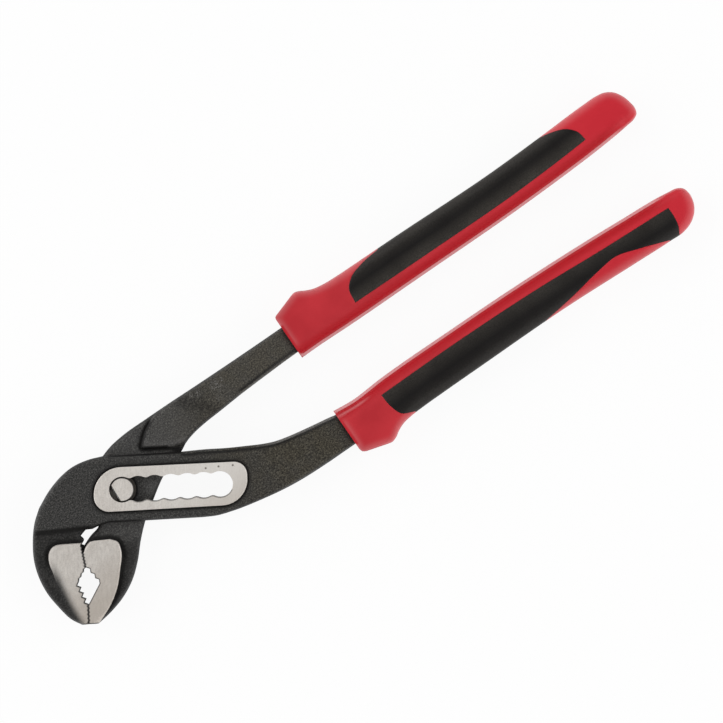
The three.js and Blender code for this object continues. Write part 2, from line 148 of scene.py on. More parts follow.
class Line:
    """A closed plan line made of tagged stretches."""

    def __init__(self, stretches, step=0.5, blur=3):
        spans = []
        for tag, points in stretches:
            if spans and math.dist(spans[-1][1][-1], points[0]) > SAME_PLACE:
                spans.append((tag, [spans[-1][1][-1], points[0]]))
            spans.append((tag, points))
        if math.dist(spans[-1][1][-1], spans[0][1][0]) > SAME_PLACE:
            spans.append((spans[-1][0], [spans[-1][1][-1], spans[0][1][0]]))
        runs = [curve(points, step) for _, points in spans]
        self.points = np.vstack(runs)
        self.edges = np.roll(self.points, -1, 0) - self.points
        self.tags = np.concatenate([[tag] * len(run) for (tag, _), run in zip(spans, runs)])
        kernel = np.hanning(2 * blur + 3)[1:-1]
        kernel /= kernel.sum()
        self.weights = {}
        for tag in sorted(set(self.tags)):
            flag = np.pad((self.tags == tag).astype(float), blur, mode="wrap")
            self.weights[tag] = np.convolve(flag, kernel, "valid")
        (x, y), (ahead_x, ahead_y) = self.points.T, self.edges.T
        turn = np.sign(np.sum(x * ahead_y - y * ahead_x))
        length = np.linalg.norm(self.edges, axis=1)
        self.inward = np.column_stack([-ahead_y / length, ahead_x / length]) * turn
        both = self.inward + np.roll(self.inward, 1, 0)
        self.corner = both / np.maximum(np.linalg.norm(both, axis=1)[:, None], 1e-6)

    def feet(self, places, pick):
        """Batch by batch: the way from each picked edge's start, the share along it and the gap squared."""
        start, edge = self.points[pick], self.edges[pick]
        length = (edge**2).sum(1)
        for low in range(0, len(places), BATCH):
            part = slice(low, low + BATCH)
            x = places[part, 0, None] - start[:, 0]
            y = places[part, 1, None] - start[:, 1]
            share = np.clip((x * edge[:, 0] + y * edge[:, 1]) / length, 0, 1)
            yield part, x, y, share, (x - share * edge[:, 0]) ** 2 + (y - share * edge[:, 1]) ** 2

    def apart(self, places, tag):
        """Each place's distance from the stretches with one tag."""
        out = np.empty(len(places))
        for part, _, _, _, gap in self.feet(places, self.tags == tag):
            out[part] = np.sqrt(gap.min(1))
        return out

    def near(self, places):
        """For each place: its distance, positive inside, and the nearest edge and share along it."""
        distance = np.empty(len(places))
        index = np.empty(len(places), int)
        along = np.empty(len(places))
        edge = self.edges
        for part, x, y, share, gap in self.feet(places, slice(None)):
            best = gap.argmin(1)
            row = np.arange(len(best))
            with np.errstate(divide="ignore", invalid="ignore"):
                left = x < y * edge[:, 0] / edge[:, 1]
            inside = (((y < 0) != (y < edge[:, 1])) & left).sum(1) % 2
            distance[part] = np.sqrt(gap[row, best]) * np.where(inside, 1, -1)
            index[part] = best
            along[part] = share[row, best]
        return distance, index, along

    def depth(self, places):
        """Each place's distance from the line, positive inside."""
        return self.near(places)[0]

    def shares(self, index, share):
        """How much of each tag the nearest place on the line has."""
        return {
            tag: w[index] * (1 - share) + w[(index + 1) % len(w)] * share
            for tag, w in self.weights.items()
        }

    def ring(self, offset, tag=None):
        """Points beside the line, or beside one tag, left out where another stretch of it is nearer."""
        points = self.points + self.corner * offset
        least = 0.96
        if tag:
            points = points[self.tags == tag]
            least = 0.98
        return points[self.depth(points) * np.sign(offset) > least * abs(offset)]


ROOM = 12
RING_GAP = 0.11


def plan(rings, marks, spacing, hole=None):
    """Triangles in the first line and out of the hole, along all ringed lines and the open marks."""
    lines = [line for line, _ in rings]

    def inside(spots):
        within = lines[0].depth(spots) > 0
        return within & (hole.depth(spots) < 0) if hole else within

    verts, edges = [], []
    for points, closed in [(line.points, True) for line in lines] + [(mark, False) for mark in marks]:
        first = len(verts)
        verts += [Vector(p) for p in points]
        edges += [(first + i, first + i + 1) for i in range(len(points) - 1)]
        if closed:
            edges.append((len(verts) - 1, first))
    loose = []
    for line, offsets in rings:
        for offset in offsets:
            points = line.ring(offset)
            for other in lines:
                if other is not line:
                    points = points[np.abs(other.depth(points)) > RING_GAP]
            loose.append(points)
    every = np.vstack([line.points for line in lines])
    low, high = every.min(0), every.max(0)
    rows = np.arange(low[1], high[1], spacing * 0.87)
    columns = np.arange(low[0], high[0], spacing)
    grid = np.array([(x + (j % 2) * spacing / 2, y) for j, y in enumerate(rows) for x in columns])
    grid = grid[inside(grid)]
    clear = spacing * 0.6
    for line, offsets in rings:
        distance = line.depth(grid)
        grid = grid[(distance < min(0, *offsets) - clear) | (distance > max(0, *offsets) + clear)]
    loose.append(grid)
    verts += [Vector(p) for p in np.vstack(loose)]
    for x in np.linspace(low[0] - ROOM, high[0] + ROOM, 24):
        verts += [Vector((x, low[1] - ROOM)), Vector((x, high[1] + ROOM))]
    result = delaunay_2d_cdt(verts, edges, [], 0, 1e-6)
    places = np.array([tuple(v) for v in result[0]])
    triangles = np.array([tuple(f) for f in result[2]])
    triangles = triangles[inside(places[triangles].mean(1))]
    used, triangles = np.unique(triangles, return_inverse=True)
    return places[used], triangles.reshape(-1, 3)


def rims(triangles):
    """Each edge of the triangles once, with the triangles on it."""
    owners = {}
    for i, (a, b, c) in enumerate(triangles.tolist()):
        for edge in ((a, b), (b, c), (c, a)):
            owners.setdefault((min(edge), max(edge)), []).append(i)
    return owners


def wall(first, second, a, b):
    """The face between two layers along one edge."""
    return (first[a], first[b], second[b], second[a])


class Build:
    """Corners and faces of one closed piece, with a value or two at every corner."""

    def __init__(self):
        self.corners, self.faces, self.values = [], [], []

    def add(self, places, heights, **values):
        first = len(self.corners)
        for i, ((x, y), z) in enumerate(zip(places, heights)):
            self.corners.append((x * MILLIMETRE, y * MILLIMETRE, (z + MIDDLE) * MILLIMETRE))
            self.values.append({k: float(v[i]) if np.ndim(v) else float(v) for k, v in values.items()})
        return first + np.arange(len(places))

    def both(self, pick, places, heights, **values):
        """The picked places above and below the middle plane, each layer numbered as the whole plan."""
        number = np.cumsum(pick) - 1
        values = {k: v[pick] if np.ndim(v) else v for k, v in values.items()}
        return [self.add(places[pick], sign * heights[pick], **values)[number] for sign in (1, -1)]

    def finish(self, name, body, node, finish, record_slot, crease=35):
        mesh = bpy.data.meshes.new(name)
        mesh.from_pydata(self.corners, [], [[int(i) for i in f] for f in self.faces])
        work = bmesh.new()
        work.from_mesh(mesh)
        bmesh.ops.recalc_face_normals(work, faces=work.faces)
        work.to_mesh(mesh)
        work.free()
        for key in sorted({k for v in self.values for k in v}):
            layer = mesh.attributes.new(key, "FLOAT", "POINT")
            layer.data.foreach_set("value", [v.get(key, 0.0) for v in self.values])
        mesh.shade_smooth()
        mesh.set_sharp_from_angle(angle=math.radians(crease))
        mesh.materials.append(finish)
        piece = bpy.data.objects.new(name, mesh)
        bpy.context.scene.collection.objects.link(piece)
        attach(piece, body)
        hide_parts(node)


# Side profiles: distance in from the outline, and the share of the full height reached there
PROFILES = {
    "forged": ((0, 0.06, 0.18, 0.45, 0.6, 0.9, 1.3, 1.9), (0, 0.14, 0.36, 0.72, 0.84, 0.94, 0.985, 1)),
    "ledge": (
        (0, 0.06, 0.18, 0.3, 0.75, 0.87, 1.03, 1.35, 1.85),
        (0, 0.3, 0.45, 0.52, 0.58, 0.64, 0.87, 0.97, 1),
    ),
    "sharp": ((0, 0.12), (0.975, 1)),
    "round": (
        (0, 0.08, 0.3, 0.7, 1.2, 1.7, 2.3, 3, 3.8, 4.7, 5.7),
        (0.22, 0.36, 0.49, 0.62, 0.72, 0.795, 0.865, 0.92, 0.96, 0.988, 1),
    ),
    "flange": (
        (0, 0.12, 0.3, 0.85, 0.97, 1.35, 1.7, 2.3, 3, 3.8, 4.7, 5.7, 7.2, 9.2),
        (0.14, 0.27, 0.33, 0.39, 0.41, 0.54, 0.65, 0.745, 0.81, 0.855, 0.895, 0.93, 0.97, 1),
    ),
    "guard": ((0, 0.08, 0.3, 0.7, 1.05, 1.35, 1.7, 2.3), (0.4, 0.55, 0.7, 0.84, 0.91, 0.95, 0.98, 1)),
    "face": ((0, 0.08, 0.3, 0.7), (0.9, 0.95, 0.985, 1)),
}
FLANGE_LINES = (0.12, 0.3, 0.85, 0.97, 1.35, 1.7)
LEDGE_LINES = (0.3, 0.75, 0.87, 1.03)
LEVER_RINGS = (0.06, 0.18, 0.3, 0.46, 0.62, 0.75, 0.87, 1.03, 1.35, 1.6, 2.1)
GRIP_RINGS = (0.08, 0.3, 0.7, 1.05, 1.35, 1.7, 2.3, 3, 3.8, 4.7, 5.7)


def profile(line, places, turning, blend=0.001):
    """The share of the full height over a plan: the least that any stretch allows, softly blended."""
    out = np.ones(len(places))
    for tag in sorted(set(line.tags)):
        distance = line.apart(places, tag)
        share = np.interp(distance, *PROFILES[tag])
        other, amount = turning.get(tag, (tag, 0))
        share = share + (np.interp(distance, *PROFILES[other]) - share) * amount
        lean = np.clip(0.5 + 0.5 * (share - out) / blend, 0, 1)
        out = share + (out - share) * lean - blend * lean * (1 - lean)
    return out


def teeth(start, end, count, depth):
    """Teeth along a line, with the roots to the left of travel."""
    start = np.array(start)
    along = np.array(end) - start
    root = depth * np.array((-along[1], along[0])) / np.linalg.norm(along)
    halves = range(2 * count + 1)
    return [tuple(start + along * half / (2 * count) + root * (half % 2)) for half in halves]


def straight(tag, points):
    """Stretches that join the points by straight lines."""
    return [(tag, [points[i], points[i + 1]]) for i in range(len(points) - 1)]


ARC_STEPS = 12


def rounded(corners, step):
    """A closed line of corner points, each rounded to its own radius."""
    out = []
    for i, (x, y, radius) in enumerate(corners):
        here = complex(x, y)
        sides = [complex(*corners[k % len(corners)][:2]) - here for k in (i - 1, i + 1)]
        back, ahead = [side / abs(side) for side in sides]
        half = math.acos((back * ahead.conjugate()).real) / 2
        middle = (back + ahead) / abs(back + ahead) * radius / math.sin(half)
        first, last = [side * radius / math.tan(half) - middle for side in (back, ahead)]
        for turn in np.linspace(0, cmath.phase(last / first), ARC_STEPS + 1):
            place = here + middle + first * cmath.exp(1j * turn)
            out.append((place.real, place.imag))
    return Line(straight("edge", out + out[:1]), step)


def eased(before, corner, after, reach=0.8):
    """Three points that round a corner between two straight lines."""
    corner = np.array(corner, float)
    sides = [np.array(other, float) - corner for other in (before, after)]
    first, last = [corner + reach * side / np.linalg.norm(side) for side in sides]
    return [tuple(first), tuple(0.25 * first + 0.5 * corner + 0.25 * last), tuple(last)]


# The closed jaws meet along a line from the throat to the tip, with a pipe hole between
THROAT = (-21.2, -7.3)
HOLE_TOP = (-24.3, -14.4)
HOLE_LEFT = (-28.9, -16.9)
HOLE_RIGHT = (-23.6, -21.25)
HOLE_BOTTOM = (-30.4, -24.9)
TIP = (-33.9, -30.4)
TIP_EDGE = (-31.3, -32)
JAW_BACK = (-36.1, -29.2)
HEAD_BACK = (-26.1, 10.4)
JAW_TURN = math.atan2(THROAT[1] - TIP[1], THROAT[0] - TIP[0])
JAW_CLEARANCE = 0.06
JAW_GAP = (JAW_CLEARANCE * math.sin(JAW_TURN), -JAW_CLEARANCE * math.cos(JAW_TURN))
FINE_TOOTH = 0.35
TIP_TEETH = teeth(TIP, HOLE_BOTTOM, 5, FINE_TOOTH)
THROAT_TEETH = teeth(HOLE_TOP, THROAT, 7, FINE_TOOTH)


def across(point):
    """The same point on the moving jaw."""
    return (point[0] + JAW_GAP[0], point[1] + JAW_GAP[1])


def meshing(points):
    """The moving jaw's teeth, which fit into these."""
    return [across(point) for point in reversed(points)]


# What both levers share
LEVER_GRID = 0.8
GROUND_SHARE = 0.9
# Sizes, heights and seed steps of the bumps on a forging's skin
FORGE_BUMPS = ((1.3, 0.03, 0), (3.1, 0.04, 7))
# Places along the arms where the lower arm thins and where each inner rim turns into a ledge
ARM_THINS = (40, 66)
LOWER_LEDGE = (28, 38)
UPPER_LEDGE = (52, 66)


def grip_arm(low, high, front, drift):
    """An arm where it enters its grip: its edges, the grip's front and the drift of the tang inside."""
    return SimpleNamespace(
        low=low, high=high, front=front, drift=drift, end=front + ARM_SEAT, centre=(low + high) / 2,
    )


LOWER_ARM = grip_arm(-31.1, -19.55, 71.9, -1.6)
UPPER_ARM = grip_arm(4.55, 14.25, 73.4, 0.8)


def tang(arm):
    """The tang on the arm's centre line, from the lower to the upper corner of the arm's end."""
    tip = arm.centre + arm.drift
    return [
        (arm.end, arm.low), (arm.end, arm.centre - TANG_WIDE), (TANG_END, tip - TANG_WIDE),
        (TANG_END, tip + TANG_WIDE), (arm.end, arm.centre + TANG_WIDE), (arm.end, arm.high),
    ]


def end_marks(arm, low, high):
    """Lines across an arm where its end steps down to the tang."""
    return [np.array([(x, low), (x, high)]) for x in (arm.end, arm.end + TANG_STEP)]


def forge_skin(places, seed):
    """Uneven height over the plan, as a forging has."""
    out = np.zeros(len(places))
    for size, height, turn in FORGE_BUMPS:
        out += height * np.array([noise.noise(Vector((x / size, y / size, seed + turn))) for x, y in places])
    return out


def lever_places(outer, places):
    """What a lever's height and look depend on, at every place of its plan."""
    x, y = places.T
    rim, index, share = outer.near(places)
    return SimpleNamespace(
        x=x, y=y, along=x * SLOT_COS + y * SLOT_SIN, over=y * SLOT_COS - x * SLOT_SIN, rim=np.abs(rim),
        weights=outer.shares(index, share), toothed=outer.apart(places, "sharp"), reach=np.hypot(x, y),
    )


def down_to_tang(at, arm, height):
    """The height, but past the arm's end that of the tang."""
    step = np.interp(at.x, (arm.end, arm.end + TANG_STEP), (ARM_HALF, TANG_HALF))
    return np.where(at.x > arm.end, step, height)


def ledge_wear(at, start, end):
    """Wear on the ledge along an arm's inner edge, growing towards the grip."""
    return at.weights["ledge"] * between(at.rim, 0.05, 0.18, 0.72, 0.88) * smooth(at.x, start, end)


def edge_shadow(at, arm):
    """Painted shade on the forged rims, behind the ledge and next to the grip."""
    return most(
        at.weights["forged"] * fade(at.rim, 0.2, 0.9),
        at.weights["ledge"] * between(at.rim, 0.7, 0.86, 1.2, 1.9),
        0.85 * smooth(at.x, arm.front - 1.4, arm.front - 0.1),
    )


def forged_layers(build, places, level, calm, seed, cap, **paint):
    """A forging's upper and lower skins, each with bumps of its own."""
    layers = []
    for sign, turn in ((1, 0), (-1, 10)):
        bumpy = level + calm * forge_skin(places, seed + turn)
        layers.append(build.add(places, sign * np.minimum(bumpy, cap), **paint))
    return layers


# The slotted lever: steps are distances in from a line, and what they add to the height there
LAND_CORNERS = ((-9.3, -7, 5), (41.33, -7.05, 8.6), (41.33, 6.95, 4.2), (-9.3, 7.45, 9.1))
LAND_STEP = ((-0.9, -0.5, -0.1, 0, 0.12), (0, -0.2, -0.3, 0.42, 0.5))
LAND_RINGS = (-0.9, -0.5, -0.1, 0.12, 0.5)
SLOT_EDGE = ((0, 0.12), (0.12, 0))
CRISP_STEP = ((-1.9, -1.1, -0.15, 0, 0.15, 0.5), (0, -0.35, -0.45, 0.9, 1.12, 1.2))
SOFT_STEP = ((-0.6, 0, 0.5, 1, 1.6, 2.4, 3.2), (0, 0.2, 0.5, 0.75, 0.96, 1.12, 1.2))
FIXED_FACE_RINGS = (-1.9, -1.1, -0.6, -0.15, 0.15, 0.5, 1.0, 1.6, 2.4, 3.2)
FIXED_FACE = [
    ("crisp", [(-10, -13.6), (-26.5, -3.7)]),
    ("crisp", [(-26.5, -3.7), (-28.3, -2.9), (-29.9, -2.85), (-31.5, -3.65), (-32.9, -5.4), (-33.7, -7.4),
               (-34, -9)]),
    ("soft", [(-34, -9), (-35.4, -15), (-36.3, -21), (-36.9, -29)]),
    ("soft", [(-36.9, -29), (-35.5, -40)]),
    ("crisp", [(-35, -40), (-10, -40)]),
]
# Distances from the slot at which the head drops to the jaw, along a line that leans a little
STEP_LINES = (-13.1, -12.7, -11.9, -11.2)
STEP_SHARES = (1, 0.9, 0.25, 0)
STEP_LEAN = 0.046
STEP_MIDDLE = -21.4
STEP_RUN = (-42, -8, 0.6)
# The slit in the box, through which the inner lever passes
SLIT_CORNERS = (
    (-15, -24), (TRAVEL + 17.6, -24), (TRAVEL + 17.6, 6.5), (TRAVEL + 22.4, 13.7), (TRAVEL + 17, 24),
    (-15, 24), (-15, -24),
)
SLIT = Line(straight("edge", [slot(along, over) for along, over in SLIT_CORNERS]), 0.35)


def slotted_outline():
    arm = LOWER_ARM
    return Line([
        ("forged", [
            HEAD_BACK, (-30.15, 7.15), (-34.15, 2.3), (-37.35, -3.2), (-39.15, -9), (-39.7, -14),
            (-39.2, -20), (-37.9, -26), JAW_BACK]),
        ("sharp", [JAW_BACK, TIP]),
        *straight("sharp", TIP_TEETH),
        *straight("sharp", teeth(HOLE_BOTTOM, HOLE_LEFT, 4, 1.1)),
        *straight("sharp", teeth(HOLE_LEFT, HOLE_TOP, 3, FINE_TOOTH)),
        *straight("sharp", THROAT_TEETH),
        ("forged", [THROAT, (-19.7, -6.4), (-19.9, -4.8)]),
        *straight("forged", [(-19.9, -4.8), (-17.4, -4.1), (-15.3, -5.2), (-13.6, -5.4),
                             slot(-5, -BOX_LOWER), slot(26, -BOX_LOWER)]),
        ("forged", [slot(26, -BOX_LOWER), (21, -24.75), (26, -26.4), (36, -28.7), (48, -30.55),
                    (60, arm.low), (68, arm.low)]),
        *straight("forged", [(68, arm.low)] + tang(arm)),
        ("ledge", [
            (arm.end, arm.high), (arm.front, arm.high), (70, -19.15), (66, -18.5), (62, -17.85),
            (58, -17.15), (54, -16.35), (50, -15.25), (46.5, -13.75), (42, -11.4), (36, -8.15),
            (30, -4.55), slot(20, BOX_UPPER)]),
        ("forged", [slot(20, BOX_UPPER), slot(-6, BOX_UPPER)]),
        ("forged", [slot(-6, BOX_UPPER), (-4, 14.5), (-10, 15.4), (-14, 15), (-20, 13.3), HEAD_BACK]),
    ])


def slot_window():
    """The scalloped slot: its lower side, then the same turned half round."""
    spread = math.asin(PITCH / 2 / NOTCH_RADIUS)
    lower = []
    for k in range(NOTCHES):
        before = math.pi / 2 if k == 0 else spread
        after = math.pi / 2 if k == NOTCHES - 1 else spread
        count = max(6, int((before + after) / NOTCH_STEP))
        notch = []
        for turn in np.linspace(-before, after, count):
            along = k * PITCH + NOTCH_RADIUS * math.sin(turn)
            over = -NOTCH_RADIUS * math.cos(turn)
            notch.append((along, min(over, -CUSP_HALF) if 0 < along < TRAVEL else over))
        lower.append(notch)
    upper = [[(TRAVEL - along, -over) for along, over in notch] for notch in lower]
    return Line([s for notch in lower + upper for s in straight("edge", [slot(*p) for p in notch])], 0.6)


def slotted_height(at):
    height = FORGED_HALF + (ARM_HALF - FORGED_HALF) * smooth(at.x, *ARM_THINS)
    height = height + (RIM_HALF - height) * at.jaw
    face = at.sides["crisp"] * np.interp(at.ground, *CRISP_STEP)
    face = face + at.sides["soft"] * np.interp(at.ground, *SOFT_STEP)
    height = down_to_tang(at, LOWER_ARM, height + at.jaw * face)
    foot = EDGE_HALF + SLIT_HALF * fade(-at.slit, 0, 8)
    raised = np.interp(at.plate, *LAND_STEP) - np.interp(at.hole, *SLOT_EDGE)
    return foot + (height - foot) * at.share + raised


def slotted_paint(at):
    """How ground and worn each place is, and how dark with painted shade."""
    crisp, soft = at.sides["crisp"], at.sides["soft"]
    face = at.jaw * (crisp * (at.ground > -0.02) + soft * smooth(at.ground, 0.1, 3.5))
    grind = np.maximum((at.plate > -0.02) * 1.0, GROUND_SHARE * face) * smooth(at.toothed, 0.1, 0.5)
    # Painted shade: less ground steel beside the lower notches leaves a dark line where the slot's inner
    # wall lies in shade
    notch_shade_line = (at.over < -2) * smooth(at.along, 2, 5) * fade(at.hole, 0.13, 0.45)
    grind = grind * (1 - 0.8 * notch_shade_line)
    wear = 0.8 * ledge_wear(at, 40, 54)
    # Painted shade: dark lines round the land and round the fixed jaw's face, a dark band below the step
    # from the head, and the jaw's forged rim darkened
    land_shade = (at.plate < 0.05) * fade(-at.plate, 0.5, 1.3)
    face_shade = at.jaw * crisp * (at.ground < 0.05) * fade(-at.ground, 0.9, 2.0)
    head_step_shade = np.interp(at.drop, (-13.7, *STEP_LINES), (0, 1, 1, 1, 0)) * fade(at.along, -12, -9)
    deep = most(land_shade, face_shade, head_step_shade, 0.55 * at.jaw, edge_shadow(at, LOWER_ARM))
    return {"grind": grind, "wear": wear, "deep": deep}


def slotted_lever(finish):
    """The forging with the fixed jaw, the slotted box and the lower arm."""
    outer = slotted_outline()
    window = slot_window()
    land = rounded([(*slot(along, over), radius) for along, over, radius in LAND_CORNERS], 0.5)
    face = Line(FIXED_FACE, 0.5, 14)
    marks = end_marks(LOWER_ARM, -40, -10)
    for drop in STEP_LINES:
        run = [(along, drop + STEP_LEAN * (along - STEP_MIDDLE)) for along in np.arange(*STEP_RUN)]
        marks.append(np.array([slot(*place) for place in run]))
    marks += [outer.ring(offset, "ledge") for offset in LEDGE_LINES]
    rings = [
        (outer, LEVER_RINGS), (window, (-0.12, -0.5)), (land, LAND_RINGS), (face, FIXED_FACE_RINGS),
        (SLIT, (-0.6, -1.5)),
    ]
    places, triangles = plan(rings, marks, LEVER_GRID, window)
    at = lever_places(outer, places)
    at.hole = -window.depth(places)
    at.plate = land.depth(places)
    at.slit = SLIT.depth(places)
    at.ground, index, share = face.near(places)
    at.sides = face.shares(index, share)
    at.drop = at.over - STEP_LEAN * np.clip(at.along - STEP_MIDDLE, -20, 12)
    at.jaw = np.interp(at.drop, STEP_LINES, STEP_SHARES)
    at.share = profile(outer, places, {"ledge": ("forged", fade(at.x, *LOWER_LEDGE))})
    paint = slotted_paint(at)
    calm = (1 - paint["grind"]) * smooth(at.rim, 0.2, 1.5)
    build = Build()
    top, low = forged_layers(build, places, slotted_height(at), calm, seed=1.5, cap=np.inf, **paint)
    within = SLIT.depth(places[triangles].mean(1)) > 0
    touched = np.isin(np.arange(len(places)), triangles[within])
    # The slit's roof and floor are darkened with painted shade
    roof, floor = build.both(touched, places, np.full(len(places), SLIT_HALF), grind=0.15, deep=0.5)
    build.faces += [*top[triangles], *low[triangles], *roof[triangles[within]], *floor[triangles[within]]]
    for (a, b), owners in rims(triangles).items():
        if len(owners) == 1 and within[owners[0]]:
            build.faces += [wall(roof, top, a, b), wall(low, floor, a, b)]
        elif len(owners) == 1:
            right = [floor[b], roof[b]] if touched[b] else []
            left = [roof[a], floor[a]] if touched[a] else []
            build.faces.append([low[a], low[b], *right, top[b], top[a], *left])
        elif within[owners[0]] != within[owners[1]]:
            build.faces.append(wall(floor, roof, a, b))
    build.finish("slotted_lever_forging", "slotted_half", "slotted_lever", finish, "forged_steel")


# The inner lever
MOVING_FACE_STEP = ((-1.9, -1.1, -0.15, 0, 0.2, 0.5), (0, -0.14, -0.18, 0.9, 0.97, 1))
MOVING_FACE_RINGS = (-1.9, -1.1, -0.6, -0.15, 0.2, 0.5, 1.0)
MOVING_FACE = [
    ("crisp", [TIP_EDGE, (-24.5, -29), (-20, -26), (-15.5, -21.3), (-11.6, -16.2), (-11, -13.4),
               (-12.6, -11.2)]),
    ("crisp", [(-12.6, -11.2), (-17, -8.8)]),
    ("crisp", [(-17, -8.8), (-18.7, -8.3), (-20.6, -8.9), (-22, -10)]),
    ("crisp", [(-30, -10), (-38, -25), (-35, -34)]),
]
# The upper arm's thick pad, and the distance from the slot to its foot
PAD_STEP = ((-1.1, -0.5, -0.1, 0.15, 0.5, 1.1, 1.8), (0, -0.1, -0.12, 0.62, 0.86, 0.96, 1))
FOOT_LINE = 12.9
HEEL_RUN = (18.2, 21.6, 0.4)
PAD_FOOT = slot(7.8, FOOT_LINE)
PAD_HEEL = slot(18, FOOT_LINE)
PAD = [
    ("edge", [(36, 19), (27, 16), (21.2, 13.7), (16.6, 11.3), (14.2, 9.3), (13.1, 8.2)]),
    ("edge", [(13.1, 8.2), (12.8, 7.5), PAD_FOOT]),
    *straight("edge", [PAD_FOOT, PAD_HEEL, (26, 0.75), (28, -8)]),
    ("edge", [(120, -8), (120, 19)]),
]
# A shallow crease runs across the upper arm through this place
CREASE_X = 36
CREASE_Y = 9
CREASE_LEAN = (0.75, 0.66)
CREASE_DEPTH = 0.28
# The moving jaw stays as thin as its neck up to here, to pass through the box when fully open
SHOULDER_X = -10.9
# Only what lies above this height on the plan belongs to the pad
PAD_LOWEST = -6


def pin_line(grow, radius=PIN_RADIUS):
    """The pin's section: a circle with a flat."""
    reach = radius + grow
    half = math.acos((PIN_FLAT + grow) / reach)
    turns = FLAT_FACING + np.linspace(half, 2 * math.pi - half, 61)
    return [(reach * math.cos(a), reach * math.sin(a)) for a in turns]


def inner_outline():
    arm = UPPER_ARM
    return Line([
        ("sharp", [across(TIP), TIP_EDGE]),
        ("forged", [
            TIP_EDGE, (-26, -31.2), (-20, -29.5), (-14, -26.4), (-9.1, -22.3), (-4.15, -17), (0.5, -12.8),
            (6.8, -8.4), (13.8, -4), (18.5, -2), (23.4, -0.6), (26, 0.75), (30, 1.9), (35, 2.6), (41, 3),
            (50, 3.7)]),
        ("ledge", [(50, 3.7), (60, 4.15), (arm.front, arm.low), (arm.end, arm.low)]),
        *straight("forged", tang(arm)),
        ("forged", [
            (arm.end, arm.high), (60, arm.high), (40, 14.45), (30, 14.65), (20, 14.7), (10, 14.55),
            (5, 13.9), (1, 12.7), (-3, 11), (-6.4, 8.2), (-8.8, 4.3), (-9.8, 0), (-11, -3.2),
            (-13.5, -5.7), (-17, -6.6), (-20.6, -8)]),
        *straight("sharp", meshing(THROAT_TEETH)),
        *straight("sharp", teeth(across(HOLE_TOP), across(HOLE_RIGHT), 3, 0.7)),
        ("sharp", [across(HOLE_RIGHT), across(HOLE_BOTTOM)]),
        *straight("sharp", meshing(TIP_TEETH)),
    ])


def inner_height(at):
    height = NECK_HALF + (JAW_HALF - NECK_HALF) * at.jaw
    face = (FACE_HALF - height) * np.interp(at.ground, *MOVING_FACE_STEP)
    height = height + np.where(at.y < 0, face, 0)
    dip = -CREASE_DEPTH * hump(at.crease, 2.2) * smooth(at.thick, 1, 3)
    pad = (ARM_HALF - NECK_HALF) * np.interp(at.thick, *PAD_STEP) + dip
    height = down_to_tang(at, UPPER_ARM, height + np.where(at.on_arm, pad, 0))
    return EDGE_HALF + (height - EDGE_HALF) * at.share


def inner_paint(at):
    """How ground each place is, how worn with some painted light, and how dark with painted shade."""
    face = (at.ground > -0.02) * GROUND_SHARE * (at.y < 0) * smooth(at.toothed, 0.1, 0.5)
    seat = GROUND_SHARE * fade(at.reach, 4.6, 4.85) * fade(at.x, -2.2, -1)
    pad_rise = smooth(at.thick, 0.5, 1.5) * fade(at.x, 26, 38) * at.on_arm
    # A pale band along the pad's foot: partly wear, partly painted highlight on its edge
    pad_foot = between(at.thick, 0.4, 0.9, 1.4, 3.4) * (at.over < 16.3) * at.on_arm
    inner_pad = smooth(at.thick, 1, 3)
    wear = most(
        0.4 * ledge_wear(at, 50, 64), 0.16 * pad_rise, 0.3 * pad_foot,
        # Painted light: a pale pool on the neck where it shows through the slot
        0.32 * hump(np.hypot(at.x - 8.5, at.y + 4.5), 3.6),
        0.15 * fade(at.thick, -1.6, -0.6) * (1 - at.jaw),
        0.09 * inner_pad * smooth(at.x, 34, 46),
    )
    # Painted shade: dark round the pad's rim and below its straight foot, round the moving jaw's face, in
    # the gap beside the pin, over the moving jaw, in the arm's crease and on the rims
    pad_rim_shade = between(at.thick, -1.1, -0.4, 0.4, 1.0) * at.on_arm
    heel = between(at.x, 19.5, 21.5, 26, 28) * (at.y > -3) * (at.thick < 1)
    foot = between(at.over - FOOT_LINE, -1.8, -1.4, -0.2, 0)
    deep = most(
        pad_rim_shade * (1 - heel) + foot * heel,
        (at.y < 0) * (at.ground < 0.05) * fade(-at.ground, 0.9, 2.0),
        fade(at.reach, 5.0, 5.6) * smooth(at.x, -2.2, -0.6),
        0.6 * smooth(at.reach, 14, 20) * (at.y < 0) * (at.x < 5),
        0.4 * hump(at.crease, 1.8) * inner_pad,
        edge_shadow(at, UPPER_ARM),
    )
    return {"grind": np.maximum(face, seat), "wear": wear, "deep": deep}


